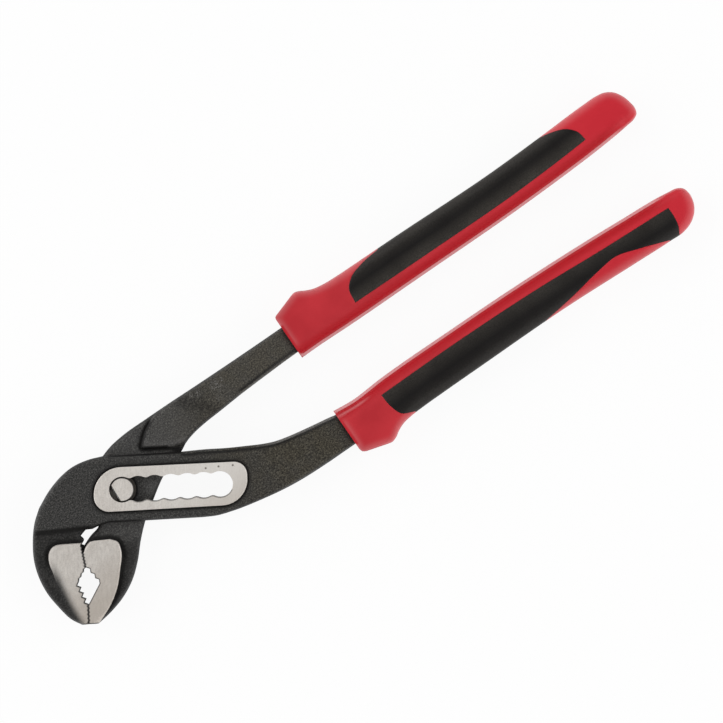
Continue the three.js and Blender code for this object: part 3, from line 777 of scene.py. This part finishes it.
def inner_lever(finish):
    """The forging with the moving jaw, the thin neck and the upper arm."""
    outer = inner_outline()
    section = pin_line(PLAY)
    bore = Line(straight("edge", section + section[:1]), 0.6)
    turns = np.linspace(0, 2 * math.pi, 60)[:-1]
    circle = [(SEAT_RADIUS * math.cos(a), SEAT_RADIUS * math.sin(a)) for a in turns]
    seat = Line(straight("edge", circle + circle[:1]), 0.6)
    face = Line(MOVING_FACE)
    pad = Line(PAD, 0.35)
    marks = end_marks(UPPER_ARM, -4, 18)
    for over in (FOOT_LINE, FOOT_LINE - 0.2):
        marks.append(np.array([slot(along, over) for along in np.arange(*HEEL_RUN)]))
    marks += [outer.ring(offset, "ledge") for offset in LEDGE_LINES]
    rings = [
        (outer, LEVER_RINGS), (bore, (-0.3,)), (seat, (-SEAT_EDGE,)), (face, MOVING_FACE_RINGS),
        (pad, PAD_STEP[0]),
    ]
    places, triangles = plan(rings, marks, LEVER_GRID, bore)
    at = lever_places(outer, places)
    at.ground = face.depth(places)
    at.thick = pad.depth(places)
    at.on_arm = at.y > PAD_LOWEST
    at.crease = (at.x - CREASE_X) * CREASE_LEAN[0] + (at.y - CREASE_Y) * CREASE_LEAN[1]
    at.jaw = smooth(SHOULDER_X - at.x, 0, 6) * (at.y < 0)
    at.share = profile(outer, places, {"ledge": ("forged", fade(at.x, *UPPER_LEDGE))})
    paint = inner_paint(at)
    calm = (1 - paint["grind"]) * smooth(at.rim, 0.2, 1.5) * smooth(at.reach, 5, 7)
    seat_half = np.interp(at.reach, (SEAT_RADIUS, SEAT_RADIUS + SEAT_EDGE), (SEAT_HALF, 9))
    build = Build()
    top, low = forged_layers(build, places, inner_height(at), calm, seed=3.5, cap=seat_half, **paint)
    build.faces += [*top[triangles], *low[triangles]]
    build.faces += [wall(low, top, a, b) for (a, b), owners in rims(triangles).items() if len(owners) == 1]
    build.finish("inner_lever_forging", "inner_half", "inner_lever", finish, "forged_steel")


def pivot_pin(finish):
    """The D-section pin, with ground end faces and a groove for each ring."""
    groove = PIN_RADIUS - GROOVE_DEPTH
    levels = [
        (MIDDLE, -0.2, PIN_RADIUS), (5.97, -0.18, PIN_RADIUS), (5.75, 0, PIN_RADIUS),
        (2.35, 0, PIN_RADIUS), (2.3, 0, groove), (1.2, 0, groove), (1.15, 0, PIN_RADIUS),
    ]
    levels += [(-z, grow, radius) for z, grow, radius in reversed(levels)]
    build = Build()
    rings = []
    for z, grow, radius in levels:
        points = pin_line(grow, radius)
        # The end faces are ground; the sides, hidden in the bore, are darkened with painted shade
        ground = 1.0 if abs(z) == MIDDLE else 0.1
        rings.append(build.add(points, [z] * len(points), grind=ground, deep=1 - ground))
    for first, second in zip(rings, rings[1:]):
        build.faces += [wall(first, second, i - 1, i) for i in range(len(first))]
    build.faces += [list(rings[0]), list(rings[-1])]
    build.finish("pivot_pin_ground", "inner_half", "pivot_pin", finish, "ground_steel")


# Grips
GRIP_GRID = 1.5
GRIP_STEP = 0.75
GUARD_LENGTH = 26
ON_FRONT = 1e-4
FLANGE_FADES = (194, 205)
SEAM_RINGS = (-0.55, -0.25, -0.08, 0.08, 0.25, 0.55)
SEAM_DIP = ((0, 0.08, 0.25, 0.55), (-0.16, -0.07, -0.02, 0))
# The mouth is lower by the flange: distances in from its side, and half its height there
MOUTH_GAP = ((0, 1.25, 1.5), (2.35, 2.85, ARM_HALF + PLAY))
# How pale the inlay is at distances from the flange: partly rubbed, partly painted sheen
RUBBED_AND_SHEEN = ((3, 6, 9.9, 12, 14), (0.9, 1, 0, 0.25, 0.65))


class Grip:
    """A hard shell moulded on one arm, with a soft inlay let into it."""

    def __init__(self, side, arm, heel, spur, heel_ease, edge, flange_end, inlay, rubbing_and_sheen):
        self.side, self.arm, self.flange_end, self.rubbing_and_sheen = side, arm, flange_end, rubbing_and_sheen
        self.lean = 1 if side == "upper" else -1
        self.low, self.high = arm.low - PLAY, arm.high + PLAY
        self.near_y, self.far_y = (self.low, self.high)[::self.lean]
        self.bends = [self.near_y + self.lean * reach for reach in MOUTH_GAP[0][1:]]
        self.outer = self.outline(heel, spur, heel_ease, edge)
        self.inlay = Line([("edge", stretch) for stretch in inlay], GRIP_STEP)
        marks = [self.outer.ring(offset, "flange") for offset in FLANGE_LINES]
        rings = [(self.outer, GRIP_RINGS), (self.inlay, SEAM_RINGS)]
        self.places, self.triangles = plan(rings, marks, GRIP_GRID)
        rim, self.nearest, _ = self.outer.near(self.places)
        self.rim = np.abs(rim)
        self.plain_side = self.outer.apart(self.places, "flange")
        self.covered = self.inlay.depth(self.places[self.triangles].mean(1)) > 0
        self.level = self.height()
        self.shell, self.core = Build(), Build()
        self.lips = {}

    def outline(self, heel, spur, heel_ease, edge):
        """Round the flange, the tip and the guard to the flat front that takes the arm."""
        front = self.arm.front
        heel_bend = eased((front, self.far_y), heel, spur, heel_ease)
        spur_bend = eased(heel, spur, edge[-1])
        run = [tuple(p) for p in curve([*edge, spur_bend[2]], GRIP_STEP)] + [spur_bend[2]]
        turn = next(i for i, p in enumerate(run) if p[0] > self.flange_end - 1e-6)
        bend = max(i for i, p in enumerate(run) if p[0] > front + GUARD_LENGTH)
        mouth = [(front, y) for y in (self.far_y, *self.bends[::-1], self.near_y)]
        return Line([
            ("flange", run[:turn + 1]),
            ("round", run[turn:bend + 1]),
            ("guard", run[bend:]),
            ("guard", spur_bend[::-1]),
            ("face", [spur_bend[0], heel_bend[2]]),
            ("face", heel_bend[::-1]),
            *straight("face", [heel_bend[0], *mouth, edge[0]]),
        ], GRIP_STEP, 2)

    def height(self):
        x = self.places[:, 0]
        front = self.arm.front
        turning = {
            "flange": ("round", smooth(x, *FLANGE_FADES)),
            "guard": ("round", smooth(x, front + 10, front + 24)),
        }
        level = GRIP_HALF * profile(self.outer, self.places, turning, 0.12)
        seam = self.inlay.depth(self.places)
        pillow = np.interp(np.abs(seam), *SEAM_DIP) + 0.08 * smooth(seam, 0.1, 1.5)
        return level + pillow * smooth(level, 1.6, 3.2)

    def paint(self):
        """How much each place shows painted pale highlights at its edges, painted dark shade beside the
        flange and at the mouth, and paler rubber, partly rubbed and partly painted sheen.
        """
        x, y = self.places.T
        plain, rim, front = self.plain_side, self.rim, self.arm.front
        flange = fade(x, self.flange_end - 7, self.flange_end - 0.5)
        # Painted highlights: the pale strip on the flange stands in for its reflection, with a thin pale
        # line along the rims and a broad painted sheen on the rounded edges
        edge = most(
            flange * between(plain, 0.02, 0.12, 0.85, 0.97),
            0.45 * between(rim, 0.02, 0.1, 0.28, 0.55),
            0.24 * fade(rim, 0.3, 2.8) * smooth(plain, 3, 6),
        )
        # Painted shade: a dark red band beside the flange
        groove = fade(x, *FLANGE_FADES) * between(plain, 0.85, 0.97, 2.4, 4.4)
        at_arm = (y > self.low - 0.3) * (y < self.high + 0.3)
        # At the mouth the pale edge gives way to a painted shadow line where the arm enters
        edge = edge * (1 - at_arm * fade(x, front + 0.7, front + 1.2))
        groove = np.maximum(groove, 0.5 * at_arm * fade(x, front + 0.2, front + 0.7))
        if self.side == "lower":
            # The lower grip gets a painted pale line along the flange's inner step
            line = np.interp(plain, (1.7, 2.3, 3), (0, 0.4, 0)) * fade(x, front + 8, front + 14)
            edge, groove = np.maximum(edge, line), groove * (1 - line)
        return edge, groove, self.rubbing_and_sheen * np.interp(plain, *RUBBED_AND_SHEEN)

    def under(self, depth):
        """Places and heights of the bed beneath the inlay, at a share of its depth."""
        inset = INLAY_DEPTH * np.clip(1 - self.rim / 4.2, 0, 1)
        moved = self.places + self.outer.inward[self.nearest] * (inset * depth)[:, None]
        return moved, np.maximum(self.level - INLAY_DEPTH * depth, 0.25 + 0.1 * (1 - depth))

    def skins(self):
        """The upper and lower faces: red, the bed in it, the black inlay and its back."""
        edge, groove, rubbed = self.paint()
        numbers = np.arange(len(self.places))
        bare, soft = self.triangles[~self.covered], self.triangles[self.covered]
        hard = np.isin(numbers, bare)
        inlaid = np.isin(numbers, soft)
        self.red = self.shell.both(hard, self.places, self.level, edge=edge, band=groove)
        self.bed = self.shell.both(inlaid, *self.under(1.0))
        self.black = self.core.both(inlaid, self.places, self.level, rubbed=rubbed)
        self.back = self.core.both(inlaid, *self.under(0.96))
        for build, layers, triangles in (
            (self.shell, self.red, bare), (self.shell, self.bed, soft),
            (self.core, self.black, soft), (self.core, self.back, soft),
        ):
            for layer in layers:
                build.faces += [*layer[triangles]]

    def lip(self, v):
        """The upper and lower lip of the mouth at a place, or nothing off the mouth."""
        x, y = self.places[v]
        if abs(x - self.arm.front) > ON_FRONT or not self.low - ON_FRONT <= y <= self.high + ON_FRONT:
            return ()
        if v not in self.lips:
            half = self.mouth_half(y)
            self.lips[v] = tuple(self.shell.add(self.places[[v]], [sign * half])[0] for sign in (1, -1))
        return self.lips[v]

    def mouth_half(self, y):
        return float(np.interp(self.lean * (y - self.near_y), *MOUTH_GAP))

    def walls(self):
        """The seams between shell and inlay, and the sides, left open at the mouth."""
        pairs = ((self.shell, self.red, self.bed), (self.core, self.black, self.back))
        kinds = {}
        for (a, b), owners in rims(self.triangles).items():
            soft = self.covered[owners]
            if len(owners) == 2 and soft[0] == soft[1]:
                continue
            for v in (a, b):
                kinds.setdefault(v, set()).add("seam" if len(owners) == 2 else "rim")
            if len(owners) == 2:
                for build, outside, beneath in pairs:
                    build.faces += [wall(first, second, a, b) for first, second in zip(outside, beneath)]
            elif soft[0]:
                self.shell.faces.append(wall(*self.bed[::-1], a, b))
                self.core.faces += [wall(*self.black[::-1], a, b), wall(*self.back[::-1], a, b)]
            else:
                self.red_side(a, b)
        for v in [v for v, found in kinds.items() if len(found) == 2]:
            for build, (up, down), (deep_up, deep_down) in pairs:
                build.faces.append((down[v], up[v], deep_up[v], deep_down[v]))

    def red_side(self, a, b):
        top, low = self.red
        left, right = self.lip(a), self.lip(b)
        if left and right:
            self.shell.faces.append((left[0], right[0], top[b], top[a]))
            self.shell.faces.append((low[a], low[b], right[1], left[1]))
        else:
            self.shell.faces.append([low[a], low[b], *right[::-1], top[b], top[a], *left])

    def tang_ring(self, x, centre):
        half, wide = TANG_HALF + PLAY, TANG_WIDE + PLAY
        corners = [(x, centre + side * wide) for side in (-1, 1, 1, -1)]
        return self.shell.add(corners, [half, half, -half, -half])

    def mouth(self):
        """The recess that takes the arm's end, and the bore beyond it that takes the tang."""
        shell, arm = self.shell, self.arm
        stops = sorted([self.low, self.high, *self.bends])
        last = len(stops) - 1
        end = [(arm.end + PLAY, y) for y in stops]
        step_top, step_low = [
            shell.add(end, [sign * self.mouth_half(y) for y in stops]) for sign in (1, -1)
        ]
        bore = self.tang_ring(arm.end + PLAY, arm.centre)
        back = self.tang_ring(TANG_END + PLAY, arm.centre + arm.drift)
        height = {v: self.places[v][1] for v in self.lips}
        order = sorted(self.lips, key=height.get)
        for k in range(last):
            part = [v for v in order if stops[k] - ON_FRONT <= height[v] <= stops[k + 1] + ON_FRONT]
            for edge, step in enumerate((step_top, step_low)):
                shell.faces.append([*[self.lips[v][edge] for v in part], step[k + 1], step[k]])
        for v, k in ((order[0], 0), (order[-1], last)):
            shell.faces.append((*self.lips[v], step_low[k], step_top[k]))
        shell.faces += [
            (*step_top, bore[1], bore[0]), (*step_low, bore[2], bore[3]),
            (step_low[0], step_top[0], bore[0], bore[3]),
            (step_low[last], step_top[last], bore[1], bore[2]),
            list(back), *[wall(bore, back, i - 1, i) for i in range(4)],
        ]

    def build(self, body, red, black):
        self.skins()
        self.walls()
        self.mouth()
        self.shell.finish(f"{self.side}_grip_red", body, f"{self.side}_grip_shell", red, "red_plastic", 40)
        self.core.finish(f"{self.side}_grip_soft", body, f"{self.side}_grip_inlay", black, "soft_black", 40)


def upper_grip():
    return Grip(
        "upper", UPPER_ARM, heel=(UPPER_ARM.front, 18.2), spur=(83.3, 21.5), heel_ease=0.8,
        edge=[
            (UPPER_ARM.front, 2.2), (80, 2.3), (92, 2.1), (120, 2.1), (160, 2.2), (180, 2.8), (192, 3.4),
            (205, 4.6), (207.9, 5.05), (209.65, 6.1), (210.25, 8), (210, 10.3), (208.9, 13.8),
            (207.2, 16.25), (204.6, 17.85), (201.3, 18.4), (197, 18.4), (180, 17.75), (160, 17.2),
            (120, 17.75), (106, 17.85), (98, 17.95), (92.7, 18.25), (89.3, 18.85), (86.8, 19.85),
            (84.9, 20.9),
        ],
        flange_end=205,
        inlay=[
            [(98.1, 7.2), (130, 7), (160, 7), (180, 7.8), (190.9, 8.5)],
            [(190.9, 8.5), (190.2, 12), (187.5, 15), (183, 16.8), (178, 17.8)],
            [(178, 17.8), (172, 24)], [(172, 24), (122, 24)], [(122, 24), (114, 17.5)],
            [(114, 17.5), (107, 16.6), (102, 15), (99, 12.2), (98.1, 7.2)],
        ],
        rubbing_and_sheen=1.0,
    )


def lower_grip():
    return Grip(
        "lower", LOWER_ARM, heel=(LOWER_ARM.front, -34.7), spur=(82.3, -37.6), heel_ease=1.6,
        edge=[
            (LOWER_ARM.front, -18.1), (79, -18.7), (90, -18.1), (120, -17.95), (140, -18.1), (165, -18.8),
            (185, -19.8), (203.5, -21.15), (206.5, -21.65), (208.3, -22.85), (209.05, -25.4),
            (208.75, -28), (207.4, -30.85), (204.7, -33.3), (200.5, -34.8), (195, -34.8), (180, -34.3),
            (155, -33.4), (120, -33.45), (105, -33.55), (97, -33.7), (92.2, -33.95), (88.7, -34.55),
            (86.1, -35.65), (84.1, -36.9),
        ],
        flange_end=203.5,
        inlay=[
            [(87.9, -22.7), (88.3, -27), (90, -31.4), (94, -33.4)],
            [(94, -33.4), (97, -40)], [(97, -40), (140, -40)], [(140, -40), (144, -33.6)],
            [(144, -33.6), (160, -31.3), (170, -29.5), (177, -28.8), (185, -31), (195, -34.5)],
            [(195, -34.5), (195.5, -40)], [(195.5, -40), (198.2, -40)], [(198.2, -40), (198.2, -36)],
            [(198.2, -36), (199, -34.2), (199.9, -32.4), (200.5, -29.4), (200.6, -25.4)],
            [(200.6, -25.4), (175, -24.4), (150, -23), (120, -22.4), (87.9, -22.7)],
        ],
        rubbing_and_sheen=0.65,
    )


# Finishes
class Nodes:
    """Short ways to make and join the nodes of one tree."""

    def __init__(self, tree):
        self.tree = tree

    def join(self, socket, value):
        if isinstance(value, bpy.types.NodeSocket):
            self.tree.links.new(value, socket)
        else:
            socket.default_value = value

    def node(self, kind, settings=(), **inputs):
        """A node with inputs joined by name."""
        made = self.tree.nodes.new("ShaderNode" + kind)
        for key, value in dict(settings).items():
            setattr(made, key, value)
        for key, value in inputs.items():
            self.join(made.inputs[key.replace("_", " ")], value)
        return made

    def wired(self, kind, settings, inputs):
        """A node with inputs joined by number."""
        made = self.node(kind, settings)
        for number, value in inputs.items():
            self.join(made.inputs[number], value)
        return made

    def band(self, value, low, high, first=0.0, last=1.0):
        """The value's way from low to high, as a number from first to last."""
        made = self.node("MapRange", Value=value, From_Min=low, From_Max=high, To_Min=first, To_Max=last)
        return made.outputs[0]

    def times(self, a, b):
        return self.wired("Math", {"operation": "MULTIPLY"}, {0: a, 1: b}).outputs[0]

    def larger(self, a, b):
        return self.wired("Math", {"operation": "MAXIMUM"}, {0: a, 1: b}).outputs[0]


class Finish(Nodes):
    """A material whose look is worked out by nodes from the place on the piece."""

    def __init__(self, name):
        self.material = bpy.data.materials.new(name)
        self.material.use_nodes = True
        super().__init__(self.material.node_tree)
        self.shader = self.tree.nodes["Principled BSDF"]
        self.place = self.node("TexCoord").outputs["Object"]

    def noise(self, size, detail=3.0, roughness=0.55, place=None):
        made = self.node("TexNoise", Vector=place or self.place, Detail=detail, Roughness=roughness)
        made.inputs["Scale"].default_value = 1 / (size * MILLIMETRE)
        return made.outputs[0]

    def stretched(self, size, turn):
        """The place, turned in the plan and drawn out along three axes."""
        made = self.node("Mapping", {"vector_type": "TEXTURE"}, Vector=self.place, Scale=size)
        made.inputs["Rotation"].default_value = (0, 0, math.radians(turn))
        return made.outputs[0]

    def along(self):
        """The place along the handles and across them."""
        return self.node("SeparateXYZ", Vector=self.place).outputs[:2]

    def ramp(self, value, *stops):
        made = self.node("ValToRGB", Fac=value)
        while len(made.color_ramp.elements) < len(stops):
            made.color_ramp.elements.new(0.5)
        for element, (place, colour) in zip(made.color_ramp.elements, stops):
            element.position = place
            element.color = (*colour, 1)
        return made.outputs[0]

    def mix(self, share, a, colour):
        """A colour laid over another by a share."""
        b = colour if isinstance(colour, bpy.types.NodeSocket) else (*colour, 1)
        return self.wired("Mix", {"data_type": "RGBA"}, {0: share, 6: a, 7: b}).outputs[2]

    def blend(self, share, a, b):
        return self.wired("Mix", {"data_type": "FLOAT"}, {0: share, 2: a, 3: b}).outputs[0]

    def value(self, name):
        return self.node("Attribute", {"attribute_name": name}).outputs["Fac"]

    def spot(self, x, y, radius):
        """One within a place of the plan, fading to nought over a radius."""
        flat = self.wired("VectorMath", {"operation": "MULTIPLY"}, {0: self.place, 1: (1, 1, 0)}).outputs[0]
        centre = (x * MILLIMETRE, y * MILLIMETRE, 0)
        away = self.wired("VectorMath", {"operation": "DISTANCE"}, {0: flat, 1: centre}).outputs["Value"]
        return self.band(away, 0.4 * radius * MILLIMETRE, radius * MILLIMETRE, 1, 0)

    def bump(self, height, depth, strength):
        return self.node("Bump", Height=height, Strength=strength, Distance=depth * MILLIMETRE).outputs[0]

    def wear(self, **sockets):
        for key, value in sockets.items():
            self.join(self.shader.inputs[key.replace("_", " ")], value)
        return self.material


BLACK_SKIN = ((0.36, (0.008, 0.008, 0.008)), (0.5, (0.03, 0.0297, 0.0292)), (0.65, (0.095, 0.093, 0.09)))
BROWN_SKIN = ((0.36, (0.009, 0.008, 0.006)), (0.5, (0.04, 0.035, 0.0248)), (0.65, (0.108, 0.096, 0.07)))
PALE_SPECK = (0.17, 0.16, 0.145)
SCUFFED = (0.26, 0.25, 0.24)
WORN_AND_PAINTED_LIGHT_SKIN = (0.2, 0.195, 0.19)
# The dark colour of painted shade
PAINTED_SHADE_TONE = (0.003, 0.0027, 0.0025)
GROUND_STEEL = ((0.3, (0.53, 0.49, 0.45)), (0.7, (0.74, 0.695, 0.64)))
CLOUDED_STEEL = (0.50, 0.455, 0.41)
BRIGHT_GRAIN = (0.82, 0.79, 0.75)
LAND_STEEL = (0.80, 0.77, 0.73)
JAW_TIP_STEEL = (0.47, 0.41, 0.35)
PIT = (0.16, 0.14, 0.12)
# Plan places and sizes of the scuffs on the upper arm, and places of the pits on the land
SCUFFS = ((44.8, 10.6, 2.6), (47.2, 11.6, 1.1), (43.6, 6.6, 1.6), (38.3, 12.1, 1.4), (36, 12.6, 1))
PITS = ((26.7, -9.8), (30.5, -11.7), (34.6, -14))
PIT_SIZE = 0.45
GRINDING_TURN = 55.5


def forged_skin(f, grain, along):
    """Black skin with a gritty grain, browner along the arms, scuffed and worn, with some painted light laid
    on with the wear and painted shade in its crevices, steps and rims.
    """
    broad, speck = f.noise(8, 3), f.noise(0.45, 2, 0.6)
    browner = f.times(f.band(along, 0.015, 0.05, 0.1, 1.0), f.band(broad, 0.3, 0.6, 0.5, 1.0))
    skin = f.mix(browner, f.ramp(grain, *BLACK_SKIN), f.ramp(grain, *BROWN_SKIN))
    skin = f.mix(f.band(speck, 0.68, 0.78, 0, 0.5), skin, PALE_SPECK)
    scuff = f.spot(*SCUFFS[0])
    for place in SCUFFS[1:]:
        scuff = f.larger(scuff, f.spot(*place))
    skin = f.mix(f.times(scuff, f.band(speck, 0.54, 0.66, 0, 0.7)), skin, SCUFFED)
    # Wear, which on the inner lever also carries painted light
    skin = f.mix(f.times(f.value("wear"), f.band(grain, 0.25, 0.7, 0.45, 1.0)), skin, WORN_AND_PAINTED_LIGHT_SKIN)
    # Painted shade, by the deep value at each corner
    return f.mix(f.times(f.value("deep"), 0.9), skin, PAINTED_SHADE_TONE)


def ground_steel(f, grain, lines, along, up):
    """Ground steel with grinding lines, clouds and a few pits, brighter on the land than at the tip."""
    cloud = f.band(f.noise(4.5, 4, 0.6), 0.4, 0.7, 0, 0.65)
    steel = f.mix(cloud, f.ramp(lines, *GROUND_STEEL), CLOUDED_STEEL)
    steel = f.mix(f.band(grain, 0.4, 0.66, 0, 0.5), steel, BRIGHT_GRAIN)
    steel = f.mix(f.band(along, -0.006, 0.03, 0, 0.55), steel, LAND_STEEL)
    steel = f.mix(f.band(up, -0.014, -0.027, 0, 0.6), steel, JAW_TIP_STEEL)
    pits = f.band(f.noise(0.5, 2), 0.7, 0.78, 0, 0.6)
    for x, y in PITS:
        pits = f.larger(pits, f.spot(x, y, PIT_SIZE))
    return f.mix(pits, steel, PIT)


def lever_steel():
    """Black forged skin and ground lands, by the share of grinding at each place."""
    f = Finish("forged_and_ground_steel")
    grain = f.noise(0.5, 4, 0.75)
    lines = f.noise(0.8, 4, 0.6, f.stretched((2.4, 0.8, 1), GRINDING_TURN))
    along, up = f.along()
    ground = f.value("grind")
    bumps = {0: ground, 4: f.bump(grain, 0.2, 0.6), 5: f.bump(lines, 0.02, 0.35)}
    return f.wear(
        Base_Color=f.mix(ground, forged_skin(f, grain, along), ground_steel(f, grain, lines, along, up)),
        Metallic=f.band(ground, 0, 1, 0.0, 0.3),
        Specular_IOR_Level=0.2,
        Roughness=f.blend(ground, f.band(grain, 0.2, 0.8, 0.66, 0.44), f.band(lines, 0.2, 0.8, 0.5, 0.36)),
        Normal=f.wired("Mix", {"data_type": "VECTOR"}, bumps).outputs[1],
    )


RED = ((0.3, (0.42, 0.02, 0.028)), (0.7, (0.52, 0.028, 0.038)))
RED_GRAIN = (0.36, 0.013, 0.02)
RED_TAIL = (0.6, 0.017, 0.032)
# Colours of the painted shade and the painted highlights on the red
RED_PAINTED_SHADE = (0.42, 0.001, 0.008)
RED_PAINTED_HIGHLIGHT = (0.68, 0.33, 0.34)


def red_plastic():
    """Satin red plastic with a fine moulded grain and faint clouding, with painted highlights at its edges
    and painted shade beside the flange.
    """
    f = Finish("satin_red_plastic")
    cloud, grain = f.noise(14, 3), f.noise(0.28, 2)
    along, _ = f.along()
    colour = f.mix(f.band(grain, 0.55, 0.8, 0, 0.25), f.ramp(cloud, *RED), RED_GRAIN)
    colour = f.mix(f.band(along, 0.1, 0.2, 0, 0.6), colour, RED_TAIL)
    # Painted shade, then painted highlights
    colour = f.mix(f.value("band"), colour, RED_PAINTED_SHADE)
    colour = f.mix(f.times(f.value("edge"), 0.85), colour, RED_PAINTED_HIGHLIGHT)
    return f.wear(
        Base_Color=colour,
        Roughness=f.band(cloud, 0.3, 0.7, 0.44, 0.54),
        Specular_IOR_Level=0.2,
        Normal=f.bump(grain, 0.05, 0.25),
    )


RUBBER = ((0.3, (0.004, 0.0034, 0.0034)), (0.75, (0.0095, 0.0082, 0.008)))
# Paler rubber for the rubbed places and the painted sheen
RUBBED_AND_SHEEN_RUBBER = ((0.3, (0.02, 0.0175, 0.0148)), (0.75, (0.066, 0.059, 0.05)))


def soft_black():
    """Soft black moulding, matt, with a fine grain and a few paler places, partly rubbed and partly painted
    sheen.
    """
    f = Finish("soft_black_rubber")
    grain, cloud = f.noise(0.34, 3, 0.6), f.noise(11, 3)
    rubbed = f.times(f.value("rubbed"), f.band(cloud, 0.3, 0.65, 0.6, 1.0))
    return f.wear(
        Base_Color=f.mix(rubbed, f.ramp(grain, *RUBBER), f.ramp(grain, *RUBBED_AND_SHEEN_RUBBER)),
        Roughness=f.band(cloud, 0.3, 0.7, 0.46, 0.56),
        Specular_IOR_Level=0.17,
        Normal=f.bump(grain, 0.06, 0.3),
    )


SPRING_STEEL = ((0.3, (0.05, 0.044, 0.038)), (0.7, (0.11, 0.096, 0.082)))


def spring_steel():
    """Dark spring steel with an uneven sheen."""
    f = Finish("dark_spring_steel")
    sheen = f.noise(0.5, 3)
    return f.wear(
        Base_Color=f.ramp(sheen, *SPRING_STEEL),
        Metallic=0.3,
        Roughness=f.band(sheen, 0.3, 0.7, 0.38, 0.52),
        Normal=f.bump(sheen, 0.02, 0.3),
    )


# Studio: places and lengths in metres, the camera's sensor in millimetres
LAMP_SIZE = (3.2, 1.7)
LAMP_AIM = Vector((0.08, -0.01, 0))
WHITE = (1, 1, 1, 1)
PAPER = ((0.3, (0.86, 0.86, 0.86)), (0.7, (0.88, 0.88, 0.88)))
PAPER_GLOW = 0.93
FLOOR_HALF = 4
FLOOR_LEVEL = -0.0002
CAMERA_ABOVE = (0.0888, -0.0099, 0.009)
CAMERA_DISTANCE = 5.0
CAMERA_TURN = -34.5
PICTURE_WIDTH = 0.2379
SENSOR_WIDTH = 36


def placed(name, data):
    made = bpy.data.objects.new(name, data)
    bpy.context.scene.collection.objects.link(made)
    return made


def lamp(name, place, power):
    light = bpy.data.lights.new(name, "AREA")
    light.shape = "RECTANGLE"
    light.size, light.size_y = LAMP_SIZE
    light.energy = power
    made = placed(name, light)
    made.location = place
    made.rotation_euler = (LAMP_AIM - Vector(place)).to_track_quat("-Z", "Y").to_euler()
    return made


def studio_floor():
    """White paper that takes a shadow only faintly."""
    f = Finish("studio_floor")
    f.wear(Base_Color=f.ramp(f.noise(300, 2), *PAPER), Roughness=0.9)
    glow = f.node("Emission", Color=WHITE, Strength=1.0).outputs[0]
    ray = f.node("LightPath").outputs
    mirrored = f.larger(ray["Is Glossy Ray"], ray["Is Transmission Ray"])
    share = f.times(f.larger(ray["Is Camera Ray"], mirrored), PAPER_GLOW)
    joined = f.wired("MixShader", {}, {0: share, 1: f.shader.outputs[0], 2: glow})
    f.join(f.tree.nodes["Material Output"].inputs[0], joined.outputs[0])
    sides = ((-1, -1), (1, -1), (1, 1), (-1, 1))
    corners = [(x * FLOOR_HALF, y * FLOOR_HALF, FLOOR_LEVEL) for x, y in sides]
    mesh = bpy.data.meshes.new("floor")
    mesh.from_pydata(corners, [], [(0, 1, 2, 3)])
    mesh.materials.append(f.material)
    return placed("floor", mesh)


def studio_sky():
    """White all round, dimmer overhead."""
    world = bpy.data.worlds.new("studio")
    world.use_nodes = True
    bpy.context.scene.world = world
    sky = Nodes(world.node_tree)
    height = sky.node("SeparateXYZ", Vector=sky.node("TexCoord").outputs["Generated"]).outputs["Z"]
    background = sky.tree.nodes["Background"].inputs
    sky.join(background["Strength"], sky.band(height, 0.1, 0.95, 1.0, 0.25))
    sky.join(background["Color"], WHITE)


def photo_camera():
    """The photograph looks straight down, with the handles rising to the right."""
    view = bpy.data.cameras.new("camera")
    view.sensor_width = SENSOR_WIDTH
    view.lens = SENSOR_WIDTH * CAMERA_DISTANCE / PICTURE_WIDTH
    view.clip_end = 4 * CAMERA_DISTANCE
    camera = placed("camera", view)
    camera.location = Vector(CAMERA_ABOVE) + Vector((0, 0, CAMERA_DISTANCE))
    camera.rotation_euler = (0, 0, math.radians(CAMERA_TURN))
    bpy.context.scene.camera = camera


steel = lever_steel()
red = red_plastic()
black = soft_black()
slotted_lever(steel)
inner_lever(steel)
pivot_pin(steel)
upper_grip().build("inner_half", red, black)
lower_grip().build("slotted_half", red, black)
ring_steel = spring_steel()
for name in ("pin_ring_rear", "pin_ring_front"):
    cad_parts[name].data.materials.clear()
    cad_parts[name].data.materials.append(ring_steel)

lamp("lamp_left", (-1.1, 1.2, 0.95), 32)
lamp("lamp_right", (1.3, -1.1, 0.95), 25)
studio_floor()
studio_sky()
photo_camera()
bpy.context.scene.view_settings.view_transform = "Standard"
